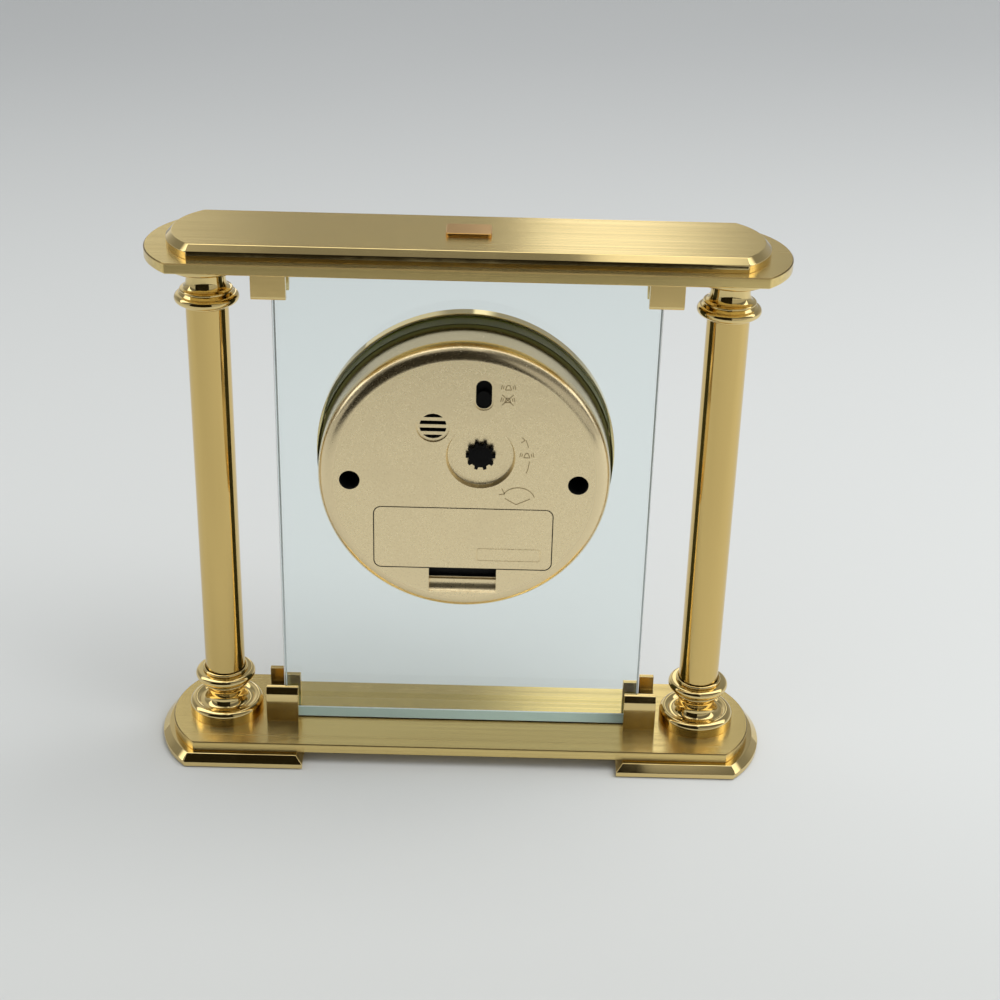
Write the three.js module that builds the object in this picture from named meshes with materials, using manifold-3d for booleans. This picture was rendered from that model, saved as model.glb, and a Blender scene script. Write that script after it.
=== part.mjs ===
// Desk clock: a glass panel held between two brass columns, with a round quartz alarm
// movement set in a hole in the glass. Millimetres, +Z up, dial towards -Y, back towards +Y.
// The origin is on the surface that the clock stands on, midway between the two feet.

import * as THREE from 'three';
import Module from 'manifold-3d';
import { mergeVertices } from 'three/addons/utils/BufferGeometryUtils.js';

const wasm = await Module();
wasm.setup();

// General clearances
const SEAT = 0.3;

// Plates of the base and of the beam: straight sides, round ends struck about one centre,
// which lies between the two columns
const END_CENTRE_INSET = 11.3;
const PLATE_END_R = 28.6;
const PLATE_HALF_DEPTH = 20.8;
const PLATE_THICK = 3.2;
const FOOT_MARGIN = 3.7;
const FOOT_END_R = 34.5;
const FOOT_TOP_INSET = 2.15;
const FOOT_INNER_X = 50.5;
const FOOT_THICK = 3.7;
const FOOT_LIP = 1.55;
const PAD_THICK = 0.4;
const PAD_INSET = 4.5;
const CAP_END_R = 22.1;
const CAP_HALF_DEPTH = 17.3;
const CAP_THICK = 4.2;
const CAP_LIP = 2.4;
const CAP_TOP_INSET = 1.8;
const END_ARC_STEPS = 12;

// Raised plaque on the beam
const PLAQUE_WIDTH = 13.4;
const PLAQUE_DEPTH = 9.0;
const PLAQUE_THICK = 1.3;
const PLAQUE_CORNER = 1.2;
const PLAQUE_BEVEL = 0.35;

// Columns
const COLUMN_CLEAR_HEIGHT = 159.0;
const COLUMN_TO_CLIP = 2.0;
const SHAFT_R = 6.4;
const SHAFT_WALL = 0.8;
const PLINTH_R = 12.0;
const PLINTH_HEIGHT = 3.0;
const SHOULDER_R = 1.8;
const BELL_FOOT_R = 8.1;
const BELL_FOOT_HEIGHT = 3.9;
const NECK_R = 5.9;
const NECK_LOW = 7.0;
const NECK_HIGH = 8.2;
const RING_R = 9.65;
const RING_SECTION_R = 1.45;
const RING_HEIGHT = 14.15;
const FILLET_R = 7.95;
const FILLET_SECTION_R = 0.5;
const FILLET_HEIGHT = 11.6;
const BEAD_R = 7.3;
const BEAD_SECTION_R = 0.5;
const SOCKET_DEPTH = 1.9;
const TURNED_SIDES = 14;

// Tie rods inside the columns
const ROD_R = 2.0;
const ROD_HEAD_R = 3.6;
const ROD_HEAD_THICK = 2.0;
const ROD_GRIP = 2.6;

// Glass panel
const GLASS_HALF_WIDTH = 57.8;
const GLASS_THICK = 9.5;
const HEAD_HEIGHT = 102.0;

// Clips at the four corners of the glass
const CLIP_GRIP = 4.6;
const CLIP_WIDTH = 10.3;
const CLIP_END_GAP = 1.2;
const CLIP_JAW_THICK = 2.5;
const CLIP_JAW_HEIGHT = 12.4;
const CLIP_FACE_HEIGHT = 7.0;
const CLIP_EDGE_R = 1.2;
const CLIP_WEB_HEIGHT = 7.7;
const CLIP_SCREW_R = 1.25;
const CLIP_SCREW_HEAD_R = 2.3;
const CLIP_SCREW_HEAD_THICK = 1.3;
const CLIP_SCREW_GRIP = 6.0;

// Places across the frame, from the glass outwards
const CLIP_INNER_X = GLASS_HALF_WIDTH - CLIP_GRIP;
const CLIP_OUTER_X = CLIP_INNER_X + CLIP_WIDTH;
const CLIP_SLOT_DEPTH = CLIP_GRIP + CLIP_END_GAP;
const CLIP_SCREW_X = CLIP_INNER_X + (CLIP_WIDTH + CLIP_SLOT_DEPTH) / 2;
const COLUMN_X = CLIP_OUTER_X + COLUMN_TO_CLIP + PLINTH_R;
const END_CENTRE_X = COLUMN_X - END_CENTRE_INSET;

// Levels of the frame, from the floor up
const FOOT_BOTTOM = PAD_THICK;
const BASE_BOTTOM = FOOT_BOTTOM + FOOT_THICK;
const BASE_TOP = BASE_BOTTOM + PLATE_THICK;
const BEAM_BOTTOM = BASE_TOP + COLUMN_CLEAR_HEIGHT;
const BEAM_TOP = BEAM_BOTTOM + PLATE_THICK;
const CAP_TOP = BEAM_TOP + CAP_THICK;
const GLASS_BOTTOM = BASE_TOP + SEAT;
const GLASS_TOP = BEAM_BOTTOM - SEAT;
const COLLAR_TOP = RING_HEIGHT + RING_SECTION_R + 2 * BEAD_SECTION_R;

// Clock head, in its own frame: x to the right and y up as seen from the dial side,
// z towards the dial, zero at the middle of the glass
const GLASS_FACE = GLASS_THICK / 2;
const DRUM_R = 44.1;
const DRUM_WALL = 1.8;
const DRUM_CLEARANCE = 0.9;
const SKIRT_CLEARANCE = 0.4;
const DRUM_REAR = -19.3;
const DRUM_FRONT = 1.9;
const DRUM_FILLET = 4.7;
const COVER_SIDES = 44;
const RING_SIDES = 36;
const BAND_REAR = -4.0;
const BAND_FRONT = -0.7;
const BAND_GROOVE = 0.8;
const BEZEL_SKIRT_WALL = 1.6;
const BEZEL_OVERHANG = 1.0;
const LENS_REBATE = 1.7;
const BEZEL_FRONT = 10.4;
const BEZEL_RIM = 3.6;
const LENS_THICK = 1.3;
const LENS_DOME = 1.0;
const RING_FRONT = 6.2;
const SIGHT_RING_WIDTH = 2.0;
const DIAL_THICK = 0.8;
const DIAL_FRONT = 1.8;
const CARRIER_FRONT = 0.7;
const CARRIER_THICK = 1.8;

// Controls and openings of the rear cover, seen from the dial side
const KNOB_X = -4.85;
const KNOB_Y = 8.65;
const RECESS_R = 10.2;
const RECESS_FLOOR_R = 9.0;
const RECESS_DEPTH = 2.0;
const RECESS_FLOOR_THICK = 1.7;
const KNOB_R = 3.57;
const KNOB_RIB_R = 4.46;
const KNOB_RIB_WIDTH = 0.95;
const KNOB_RIBS = 10;
const KNOB_PROUD = -0.3;
const KNOB_NECK_R = 2.5;
const SWITCH_X = -5.5;
const SWITCH_Y = 28.8;
const SWITCH_SLOT_WIDTH = 4.7;
const SWITCH_SLOT_LENGTH = 8.9;
const SWITCH_TRAVEL = 3.2;
const SWITCH_PLATE_WIDTH = 7.0;
const SWITCH_PLATE_LENGTH = 13.2;
const SWITCH_PLATE_THICK = 0.9;
const GRILLE_X = 9.4;
const GRILLE_Y = 18.2;
const GRILLE_R = 4.0;
const GRILLE_RECESS_R = 5.0;
const GRILLE_RECESS_DEPTH = 0.6;
const GRILLE_SLOT = 1.2;
const GRILLE_PITCH = 2.27;
const GRILLE_SLOTS = 4;
const SCREW_HOLE_INSET = 9.8;
const SCREW_HOLE_R = 3.1;
const SCREW_BOSS_WALL = 1.4;
const SCREW_SEAT = -8.1;
const SCREW_SEAT_THICK = 1.8;
const SCREW_R = 1.15;
const SCREW_HEAD_R = 2.6;
const SCREW_HEAD_THICK = 1.6;
const DOOR_WIDTH = 54.0;
const DOOR_HEIGHT = 20.4;
const DOOR_Y = -18.95;
const DOOR_THICK = 1.4;
const DOOR_CORNER = 2.2;
const DOOR_GAP = 0.3;
const DOOR_PAD = 0.6;
const DOOR_PAD_X = 15.0;
const DOOR_TONGUE = 2.6;
const NOTCH_HALF_WIDTH = 10.3;
const NOTCH_DEEP = 4.6;
const NOTCH_DEEP_WIDTH = 4.4;
const NOTCH_LEDGE = 2.6;
const NOTCH_BOTTOM_Y = -38.2;

// AA cell and its contacts
const CELL_R = 7.25;
const CELL_LENGTH = 50.5;
const CELL_NUB_R = 2.75;
const CELL_NUB = 1.0;
const CELL_Y = -19.0;
const CELL_Z = -9.65;
const CELL_ROOM = 0.6;
const LEDGE_ROOM = 0.75;
const BAY_FRAME = 1.4;
const CONTACT_THICK = 0.4;
const CONTACT_WIDTH = 9.0;
const LEAF_ROOM = 2.6;
const BAY_WALL = 1.5;
const SADDLE_X = 11.0;
const SADDLE_HALF = 8.0;
const SADDLE_REAR = -5.0;

// Movement: plates and the levels of its wheels
const PILLAR_R = 1.6;
const PILLAR_SHOULDER_R = 2.2;
const PILLAR_PIN_R = 0.9;
const MIDDLE_FRONT = -5.2;
const MIDDLE_THICK = 0.9;
const REAR_PLATE_FRONT = -13.7;
const REAR_PLATE_THICK = 1.3;
const WHEEL_THICK = 0.8;
const PINION_THICK = 1.2;
const ALARM_LEVEL = -1.85;
const HOUR_LEVEL = -3.1;
const MOTION_LEVEL = -4.4;
const CENTRE_LEVEL = -6.9;
const THIRD_LEVEL = -8.3;
const SECOND_LEVEL = -9.8;
const INTERMEDIATE_LEVEL = -11.2;
const PRESSURE_ANGLE = THREE.MathUtils.degToRad(26);
const ADDENDUM = 0.8;
const DEDENDUM = 1.15;
const BACKLASH = 0.14;
const CANNON_TEETH = 10;
const MOTION_TEETH = 30;
const MOTION_PINION_TEETH = 8;
const HOUR_TEETH = 32;
const ALARM_TEETH = 26;
const ALARM_SETTING_TEETH = 14;
const CENTRE_TEETH = 48;
const THIRD_TEETH = 45;
const SECOND_TEETH = 30;
const INTERMEDIATE_TEETH = 36;
const LEAF_TEETH = 6;
const ROTOR_TEETH = 6;
const THIRD_DISTANCE = 9.2;
const THIRD_ANGLE = 0;
const INTERMEDIATE_DISTANCE = 9.6;
const INTERMEDIATE_ANGLE = THREE.MathUtils.degToRad(60);
const ROTOR_DISTANCE = 6.3;
const ROTOR_ANGLE = THREE.MathUtils.degToRad(75);
const ROTOR_MAGNET_R = 2.4;
const ROTOR_MAGNET_THICK = 1.6;
const PIVOT_R = 0.5;
const KNOB_ARBOR_R = 1.2;
const KNOB_TIP_R = 0.6;
const SECOND_ARBOR_R = 0.5;
const PIPE_WALL = 0.6;
const STATOR_THICK = 0.8;
const STATOR_LEVEL = -9.5;
const STATOR_R = 3.9;
const COIL_X = 19.5;
const COIL_LENGTH = 15.0;
const COIL_R = 3.0;
const COIL_FLANGE_THICK = 0.8;
const COIL_END_ROOM = 1.5;
const CORE_WIDTH = 2.4;
const BUZZER_R = 5.6;
const BUZZER_THICK = 1.8;
const BOARD_THICK = 1.0;
const BOARD_FRONT = -6.6;
const BOARD_HOLE_GAP = 6.3;
const BOARD_LOW_Y = -8.0;
const BOARD_HIGH = { x: -16.5, y: 14.0 };
const BOARD_POST_Y = 11.0;
const TRAIN_PLATE_LOW = { x: -14.5, y: -11.4 };
const TRAIN_PLATE_HIGH = { x: 18.0, y: 24.0 };
const PILLARS = [[-10.6, -5.2], [14.6, -8.8], [1.0, 20.2]];
const STUD_R = 0.8;
const STUD_OFFSET = { x: 6.8, y: 5.8 };

// Rings of the head, one inside the other
const DIAL_R = DRUM_R - DRUM_WALL - SEAT;
const GLASS_HOLE_R = DRUM_R + DRUM_CLEARANCE;
const BEZEL_SKIRT_R = GLASS_HOLE_R - SKIRT_CLEARANCE;
const LENS_R = BEZEL_SKIRT_R - BEZEL_SKIRT_WALL - SEAT;
const BEZEL_LIP_R = LENS_R - LENS_REBATE;
const BEZEL_R = GLASS_HOLE_R + BEZEL_OVERHANG;
const RING_SIGHT_R = DIAL_R - SIGHT_RING_WIDTH;
const SCREW_HOLE_X = DRUM_R - SCREW_HOLE_INSET;
const BOARD_LOW = { x: BOARD_HOLE_GAP - SCREW_HOLE_X, y: BOARD_LOW_Y };
const BOARD_POSTS_X = [BOARD_LOW.x + 2.5, BOARD_HIGH.x - 2.5];

// Axes and levels that follow from the sizes above
const polar = (distance, angle) => ({ x: distance * Math.cos(angle), y: distance * Math.sin(angle) });
const THIRD_AT = polar(THIRD_DISTANCE, THIRD_ANGLE);
const INTERMEDIATE_AT = polar(INTERMEDIATE_DISTANCE, INTERMEDIATE_ANGLE);
const ROTOR_STEP = polar(ROTOR_DISTANCE, ROTOR_ANGLE);
const ROTOR_AT = { x: INTERMEDIATE_AT.x + ROTOR_STEP.x, y: INTERMEDIATE_AT.y + ROTOR_STEP.y };
const MOTION_MODULE = (2 * Math.hypot(KNOB_X, KNOB_Y)) / (CANNON_TEETH + MOTION_TEETH);
const CENTRE_MODULE = (2 * THIRD_DISTANCE) / (CENTRE_TEETH + LEAF_TEETH);
const THIRD_MODULE = (2 * THIRD_DISTANCE) / (THIRD_TEETH + LEAF_TEETH);
const SECOND_MODULE = (2 * INTERMEDIATE_DISTANCE) / (SECOND_TEETH + LEAF_TEETH);
const ROTOR_MODULE = (2 * ROTOR_DISTANCE) / (INTERMEDIATE_TEETH + ROTOR_TEETH);
const MINUTE_BORE = SECOND_ARBOR_R + SEAT;
const MINUTE_PIPE_R = MINUTE_BORE + PIPE_WALL;
const HOUR_BORE = MINUTE_PIPE_R + SEAT;
const HOUR_PIPE_R = HOUR_BORE + PIPE_WALL;
const ALARM_BORE = HOUR_PIPE_R + SEAT;
const ALARM_PIPE_R = ALARM_BORE + PIPE_WALL;
const PIVOT_FRONT = MIDDLE_FRONT - MIDDLE_THICK / 2;
const PIVOT_REAR = REAR_PLATE_FRONT - REAR_PLATE_THICK + 0.3;
const CONTACT_WALL_X = CELL_LENGTH / 2 + SEAT + CONTACT_THICK + SEAT;
const LEAF_WALL_X = -(CELL_LENGTH / 2 + SEAT + LEAF_ROOM + SEAT);

// Hands and the time that they show
const HAND_THICK = 0.3;
const HAND_STEP = 0.8;
const HUB_WALL = 1.1;
const ALARM_HAND_LEVEL = 2.35;
const HOUR_HAND_LEVEL = ALARM_HAND_LEVEL + HAND_STEP;
const MINUTE_HAND_LEVEL = HOUR_HAND_LEVEL + HAND_STEP;
const SECOND_HAND_LEVEL = MINUTE_HAND_LEVEL + HAND_STEP;
const SECOND_TIP = SECOND_HAND_LEVEL + HAND_THICK;
const ALARM_HAND = 17;
const HOUR_HAND = 22;
const MINUTE_HAND = 33;
const SECOND_HAND = 35;
const SHOWN = { hours: 10, minutes: 8, seconds: 20, alarmHours: 6 };

// Materials
const finish = (color, roughness, metalness) =>
  new THREE.MeshStandardMaterial({ color, roughness, metalness });
const BRUSHED_BRASS = finish(0xc2a566, 0.42, 1);
const POLISHED_BRASS = finish(0xc9a75c, 0.14, 1);
const COPPER = finish(0xb9783f, 0.3, 1);
const GLASS = finish(0xbfd3cf, 0.04, 0);
const COVER_GOLD = finish(0xcbb78a, 0.42, 0.6);
const BLACK_PLASTIC = finish(0x141414, 0.5, 0);
const WHITE_PLASTIC = finish(0xe6e4dc, 0.5, 0);
const DIAL_CREAM = finish(0xf1ead6, 0.6, 0);
const STEEL = finish(0xb9bcc0, 0.3, 1);
const COPPER_WIRE = finish(0xa85a2c, 0.35, 0.8);
const BOARD_GREEN = finish(0x2f6b45, 0.5, 0);
const RUBBER = finish(0x55574a, 0.8, 0);
const FELT = finish(0x20352a, 0.95, 0);
const CELL_WRAP = finish(0x2b2f38, 0.35, 0.1);
const HAND_BLACK = finish(0x171717, 0.35, 0.1);
const HAND_BRASS = finish(0xb08a3e, 0.35, 1);

const clock = new THREE.Group();
const head = new THREE.Group();
head.position.set(0, 0, HEAD_HEIGHT);
head.rotation.x = Math.PI / 2;
clock.add(head);

function place(parent, name, geometry, material) {
  const mesh = new THREE.Mesh(geometry, material);
  mesh.name = name;
  parent.add(mesh);
  return mesh;
}

// Boolean joins and cuts

function toSolid(geometry) {
  const bare = geometry.clone();
  for (const name of Object.keys(bare.attributes)) {
    if (name !== 'position') bare.deleteAttribute(name);
  }
  const merged = mergeVertices(bare, 1e-4);
  return new wasm.Manifold(new wasm.Mesh({
    numProp: 3,
    vertProperties: new Float32Array(merged.attributes.position.array),
    triVerts: new Uint32Array(merged.index.array),
  }));
}

function toGeometry(solid) {
  const mesh = solid.getMesh();
  const geometry = new THREE.BufferGeometry();
  geometry.setAttribute('position', new THREE.BufferAttribute(new Float32Array(mesh.vertProperties), 3));
  geometry.setIndex(new THREE.BufferAttribute(new Uint32Array(mesh.triVerts), 1));
  geometry.computeVertexNormals();
  return geometry;
}

function combine(base, { add = [], cut = [] }) {
  let solid = toSolid(base);
  for (const piece of add) solid = solid.add(toSolid(piece));
  for (const piece of cut) solid = solid.subtract(toSolid(piece));
  return toGeometry(solid);
}

// Prisms and turned shapes

function prism(shape, low, high, curveSegments = 16) {
  const depth = high - low;
  const geometry = new THREE.ExtrudeGeometry(shape, { depth, bevelEnabled: false, curveSegments });
  const position = geometry.attributes.position;
  for (let i = 0; i < position.count; i += 1) {
    position.setZ(i, position.getZ(i) > depth / 2 ? high : low);
  }
  return geometry;
}

function rodAlongZ(radius, low, high, sides = 16, x = 0, y = 0) {
  const shape = new THREE.Shape();
  shape.absarc(x, y, radius, 0, 2 * Math.PI);
  return prism(shape, low, high, sides / 2);
}

function turned(profile, sides) {
  const geometry = new THREE.LatheGeometry(profile.map(([r, h]) => new THREE.Vector2(r, h)), sides);
  return geometry.rotateX(Math.PI / 2);
}

function box(low, high) {
  const size = high.map((value, axis) => value - low[axis]);
  const geometry = new THREE.BoxGeometry(...size);
  return geometry.translate(...low.map((value, axis) => value + size[axis] / 2));
}

function circleHole(x, y, radius) {
  const hole = new THREE.Path();
  hole.absarc(x, y, radius, 0, 2 * Math.PI, true);
  return hole;
}

function roundedRectangle(x, y, width, height, radius) {
  const [left, right] = [x - width / 2, x + width / 2];
  const [bottom, top] = [y - height / 2, y + height / 2];
  const shape = new THREE.Shape();
  shape.moveTo(left + radius, bottom);
  shape.lineTo(right - radius, bottom);
  shape.absarc(right - radius, bottom + radius, radius, -Math.PI / 2, 0);
  shape.lineTo(right, top - radius);
  shape.absarc(right - radius, top - radius, radius, 0, Math.PI / 2);
  shape.lineTo(left + radius, top);
  shape.absarc(left + radius, top - radius, radius, Math.PI / 2, Math.PI);
  shape.lineTo(left, bottom + radius);
  shape.absarc(left + radius, bottom + radius, radius, Math.PI, Math.PI * 1.5);
  return shape;
}

function arc(centreR, centreH, radiusR, radiusH, from, to, steps) {
  const points = [];
  for (let i = 0; i <= steps; i += 1) {
    const angle = THREE.MathUtils.degToRad(from + ((to - from) * i) / steps);
    points.push([centreR + radiusR * Math.cos(angle), centreH + radiusH * Math.sin(angle)]);
  }
  return points;
}

// Plates with moulded edges: a stack of outlines, each one inset a little more

function roundEnd(centreX, endR, halfDepth, side) {
  const reach = Math.asin(Math.min(1, halfDepth / endR));
  const points = [];
  for (let i = 0; i <= END_ARC_STEPS; i += 1) {
    const angle = -reach + (2 * reach * i) / END_ARC_STEPS;
    points.push([side * (centreX + endR * Math.cos(angle)), side * endR * Math.sin(angle)]);
  }
  return points;
}

function plateOutline(endR, halfDepth) {
  return [
    ...roundEnd(END_CENTRE_X, endR, halfDepth, 1),
    ...roundEnd(END_CENTRE_X, endR, halfDepth, -1),
  ];
}

function footOutline(inset, side) {
  const centreX = END_CENTRE_X + PLATE_END_R + FOOT_MARGIN - FOOT_END_R;
  const end = roundEnd(centreX, FOOT_END_R - inset, PLATE_HALF_DEPTH + FOOT_MARGIN - inset, side);
  const innerX = side * (FOOT_INNER_X + inset);
  const last = end[end.length - 1];
  const first = end[0];
  return [...end, [innerX, last[1]], [innerX, first[1]]];
}

function outlineShape(points) {
  return new THREE.Shape(points.map(([x, y]) => new THREE.Vector2(x, y)));
}

function stackOutlines(levels) {
  const positions = [];
  const index = [];
  const count = levels[0].points.length;
  for (const { points, z } of levels) {
    for (const [x, y] of points) positions.push(x, y, z);
  }
  for (let level = 0; level < levels.length - 1; level += 1) {
    for (let i = 0; i < count; i += 1) {
      const a = level * count + i;
      const b = level * count + ((i + 1) % count);
      index.push(a, b, b + count, a, b + count, a + count);
    }
  }
  const last = (levels.length - 1) * count;
  const caps = (points) => THREE.ShapeUtils.triangulateShape(points.map(([x, y]) => new THREE.Vector2(x, y)), []);
  for (const [a, b, c] of caps(levels[0].points)) index.push(a, c, b);
  for (const [a, b, c] of caps(levels[levels.length - 1].points)) index.push(last + a, last + b, last + c);
  const geometry = new THREE.BufferGeometry();
  geometry.setAttribute('position', new THREE.Float32BufferAttribute(positions, 3));
  geometry.setIndex(index);
  geometry.computeVertexNormals();
  return geometry;
}

function mouldedPlate(outlineAt, low, lip, high, inset) {
  return stackOutlines([
    { points: outlineAt(0), z: low },
    { points: outlineAt(0), z: low + lip },
    { points: outlineAt(inset), z: high },
  ]);
}

function buildFeet() {
  for (const [word, side] of [['left', -1], ['right', 1]]) {
    const body = mouldedPlate(
      (inset) => footOutline(inset, side), FOOT_BOTTOM, FOOT_LIP, BASE_BOTTOM, FOOT_TOP_INSET);
    const rodSeat = FOOT_BOTTOM + ROD_HEAD_THICK + SEAT;
    const screwSeat = FOOT_BOTTOM + CLIP_SCREW_HEAD_THICK + SEAT;
    const cut = [
      rodAlongZ(ROD_R + SEAT, 0, BASE_TOP, 16, side * COLUMN_X, 0),
      rodAlongZ(ROD_HEAD_R + SEAT, 0, rodSeat, 16, side * COLUMN_X, 0),
      rodAlongZ(CLIP_SCREW_R + SEAT, 0, BASE_TOP, 12, side * CLIP_SCREW_X, 0),
      rodAlongZ(CLIP_SCREW_HEAD_R + SEAT, 0, screwSeat, 12, side * CLIP_SCREW_X, 0),
    ];
    place(clock, `foot_${word}`, combine(body, { cut }), POLISHED_BRASS);
    const pad = outlineShape(footOutline(PAD_INSET, side));
    place(clock, `foot_pad_${word}`, prism(pad, 0, FOOT_BOTTOM), FELT);
  }
}

function platedShape(endR, halfDepth, holes) {
  const shape = outlineShape(plateOutline(endR, halfDepth));
  for (const [x, radius] of holes) shape.holes.push(circleHole(x, 0, radius), circleHole(-x, 0, radius));
  return shape;
}

function buildPlates() {
  const through = [[COLUMN_X, ROD_R + SEAT], [CLIP_SCREW_X, CLIP_SCREW_R + SEAT]];
  const base = prism(platedShape(PLATE_END_R, PLATE_HALF_DEPTH, through), BASE_BOTTOM, BASE_TOP, 8);
  place(clock, 'base_plate', base, BRUSHED_BRASS);

  const beam = prism(platedShape(PLATE_END_R, PLATE_HALF_DEPTH, through), BEAM_BOTTOM, BEAM_TOP, 8);
  const seat = BEAM_TOP - CLIP_SCREW_HEAD_THICK - SEAT;
  const cut = [-1, 1].map((side) =>
    rodAlongZ(CLIP_SCREW_HEAD_R + SEAT, seat, BEAM_TOP + 1, 12, side * CLIP_SCREW_X, 0));
  place(clock, 'beam_lower_plate', combine(beam, { cut }), BRUSHED_BRASS);

  const cap = mouldedPlate(
    (inset) => plateOutline(CAP_END_R - inset, CAP_HALF_DEPTH - inset), BEAM_TOP, CAP_LIP, CAP_TOP, CAP_TOP_INSET);
  const rodHoles = [-1, 1].map((side) =>
    rodAlongZ(ROD_R + SEAT, BEAM_TOP - 1, BEAM_TOP + ROD_GRIP + SEAT, 16, side * COLUMN_X, 0));
  place(clock, 'beam_upper_plate', combine(cap, { cut: rodHoles }), BRUSHED_BRASS);

  const plaqueOutline = (inset) => roundedRectangle(
    0, 0, PLAQUE_WIDTH - 2 * inset, PLAQUE_DEPTH - 2 * inset, PLAQUE_CORNER - inset)
    .getPoints(4).slice(0, -1).map((point) => [point.x, point.y]);
  const plaque = stackOutlines([
    { points: plaqueOutline(0), z: CAP_TOP },
    { points: plaqueOutline(0), z: CAP_TOP + PLAQUE_THICK - PLAQUE_BEVEL },
    { points: plaqueOutline(PLAQUE_BEVEL), z: CAP_TOP + PLAQUE_THICK },
  ]);
  place(clock, 'top_plaque', plaque, COPPER);
}

// The turned end of a column: plinth, shoulder, bell, neck, fillet, ring and bead, with a
// socket for the shaft. Heights are taken from the plate that it stands against.
function columnEndProfile() {
  const shoulderR = PLINTH_R - SHOULDER_R;
  const ringR = RING_R - RING_SECTION_R;
  const filletR = FILLET_R - FILLET_SECTION_R;
  const filletLow = FILLET_HEIGHT - FILLET_SECTION_R;
  const beadR = BEAD_R - BEAD_SECTION_R;
  const beadHeight = RING_HEIGHT + RING_SECTION_R + BEAD_SECTION_R;
  const socketR = SHAFT_R + SEAT;
  return [
    [ROD_R + SEAT, 0],
    [PLINTH_R, 0],
    ...arc(shoulderR, PLINTH_HEIGHT, SHOULDER_R, SHOULDER_R, 0, 150, 3),
    ...arc(BELL_FOOT_R, NECK_LOW, BELL_FOOT_R - NECK_R, NECK_LOW - BELL_FOOT_HEIGHT, 270, 180, 3),
    ...arc(filletR, NECK_HIGH, filletR - NECK_R, filletLow - NECK_HIGH, 180, 90, 2).slice(0, 2),
    ...arc(filletR, FILLET_HEIGHT, FILLET_SECTION_R, FILLET_SECTION_R, -90, 60, 2),
    ...arc(ringR, RING_HEIGHT, RING_SECTION_R, RING_SECTION_R, -90, 90, 5),
    ...arc(beadR, beadHeight, BEAD_SECTION_R, BEAD_SECTION_R, -75, 90, 2),
    [socketR, COLLAR_TOP],
    [socketR, COLLAR_TOP - SOCKET_DEPTH],
    [ROD_R + SEAT, COLLAR_TOP - SOCKET_DEPTH],
    [ROD_R + SEAT, 0],
  ];
}

function buildColumns() {
  const profile = columnEndProfile();
  const upright = profile.map(([r, h]) => [r, BASE_TOP + h]);
  const hanging = profile.map(([r, h]) => [r, BEAM_BOTTOM - h]).reverse();
  const shaftLow = BASE_TOP + COLLAR_TOP - SOCKET_DEPTH + SEAT;
  const shaftHigh = BEAM_BOTTOM - COLLAR_TOP + SOCKET_DEPTH - SEAT;
  const shaft = [
    [SHAFT_R - SHAFT_WALL, shaftLow], [SHAFT_R, shaftLow], [SHAFT_R, shaftHigh],
    [SHAFT_R - SHAFT_WALL, shaftHigh], [SHAFT_R - SHAFT_WALL, shaftLow],
  ];
  const rod = [
    [0, FOOT_BOTTOM], [ROD_HEAD_R, FOOT_BOTTOM], [ROD_HEAD_R, FOOT_BOTTOM + ROD_HEAD_THICK],
    [ROD_R, FOOT_BOTTOM + ROD_HEAD_THICK], [ROD_R, BEAM_TOP + ROD_GRIP], [0, BEAM_TOP + ROD_GRIP],
  ];
  for (const [word, side] of [['left', -1], ['right', 1]]) {
    const x = side * COLUMN_X;
    const add = (name, points, sides, material) =>
      place(clock, `${name}_${word}`, turned(points, sides).translate(x, 0, 0), material);
    add('column_base', upright, TURNED_SIDES, POLISHED_BRASS);
    add('column_capital', hanging, TURNED_SIDES, POLISHED_BRASS);
    add('column_shaft', shaft, TURNED_SIDES, POLISHED_BRASS);
    add('tie_rod', rod, 12, STEEL);
  }
}

function buildGlass() {
  const shape = new THREE.Shape();
  const [bottom, top] = [GLASS_BOTTOM - HEAD_HEIGHT, GLASS_TOP - HEAD_HEIGHT];
  shape.moveTo(-GLASS_HALF_WIDTH, bottom);
  shape.lineTo(GLASS_HALF_WIDTH, bottom);
  shape.lineTo(GLASS_HALF_WIDTH, top);
  shape.lineTo(-GLASS_HALF_WIDTH, top);
  shape.closePath();
  shape.holes.push(circleHole(0, 0, GLASS_HOLE_R));
  place(head, 'glass_panel', prism(shape, -GLASS_FACE, GLASS_FACE, RING_SIDES / 2), GLASS);
}

// A clip is a bar with two jaws, slotted from its inner side to take the edge of the glass.
// One jaw has a rounded back and the other only a rounded edge. The rounded back faces the
// rear on a bottom clip and the dial on a top clip, which is the same piece turned over.
function clipSection() {
  const inner = GLASS_FACE + SEAT;
  const outer = inner + CLIP_JAW_THICK;
  const back = CLIP_JAW_HEIGHT - CLIP_FACE_HEIGHT;
  const edge = CLIP_JAW_HEIGHT - CLIP_EDGE_R;
  return [
    [-outer, 0], [outer, 0],
    ...arc(inner, CLIP_FACE_HEIGHT, CLIP_JAW_THICK, back, 0, 90, 6),
    [inner, CLIP_WEB_HEIGHT], [-inner, CLIP_WEB_HEIGHT], [-inner, CLIP_JAW_HEIGHT],
    ...arc(CLIP_EDGE_R - outer, edge, CLIP_EDGE_R, CLIP_EDGE_R, 90, 180, 3),
  ];
}

function clipScrew(x, seat, tip, headEnd) {
  const profile = [
    [0, headEnd], [CLIP_SCREW_HEAD_R, headEnd], [CLIP_SCREW_HEAD_R, seat],
    [CLIP_SCREW_R, seat], [CLIP_SCREW_R, tip], [0, tip],
  ];
  const ordered = tip > headEnd ? profile : profile.reverse();
  return turned(ordered, 10).translate(x, 0, 0);
}

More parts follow.
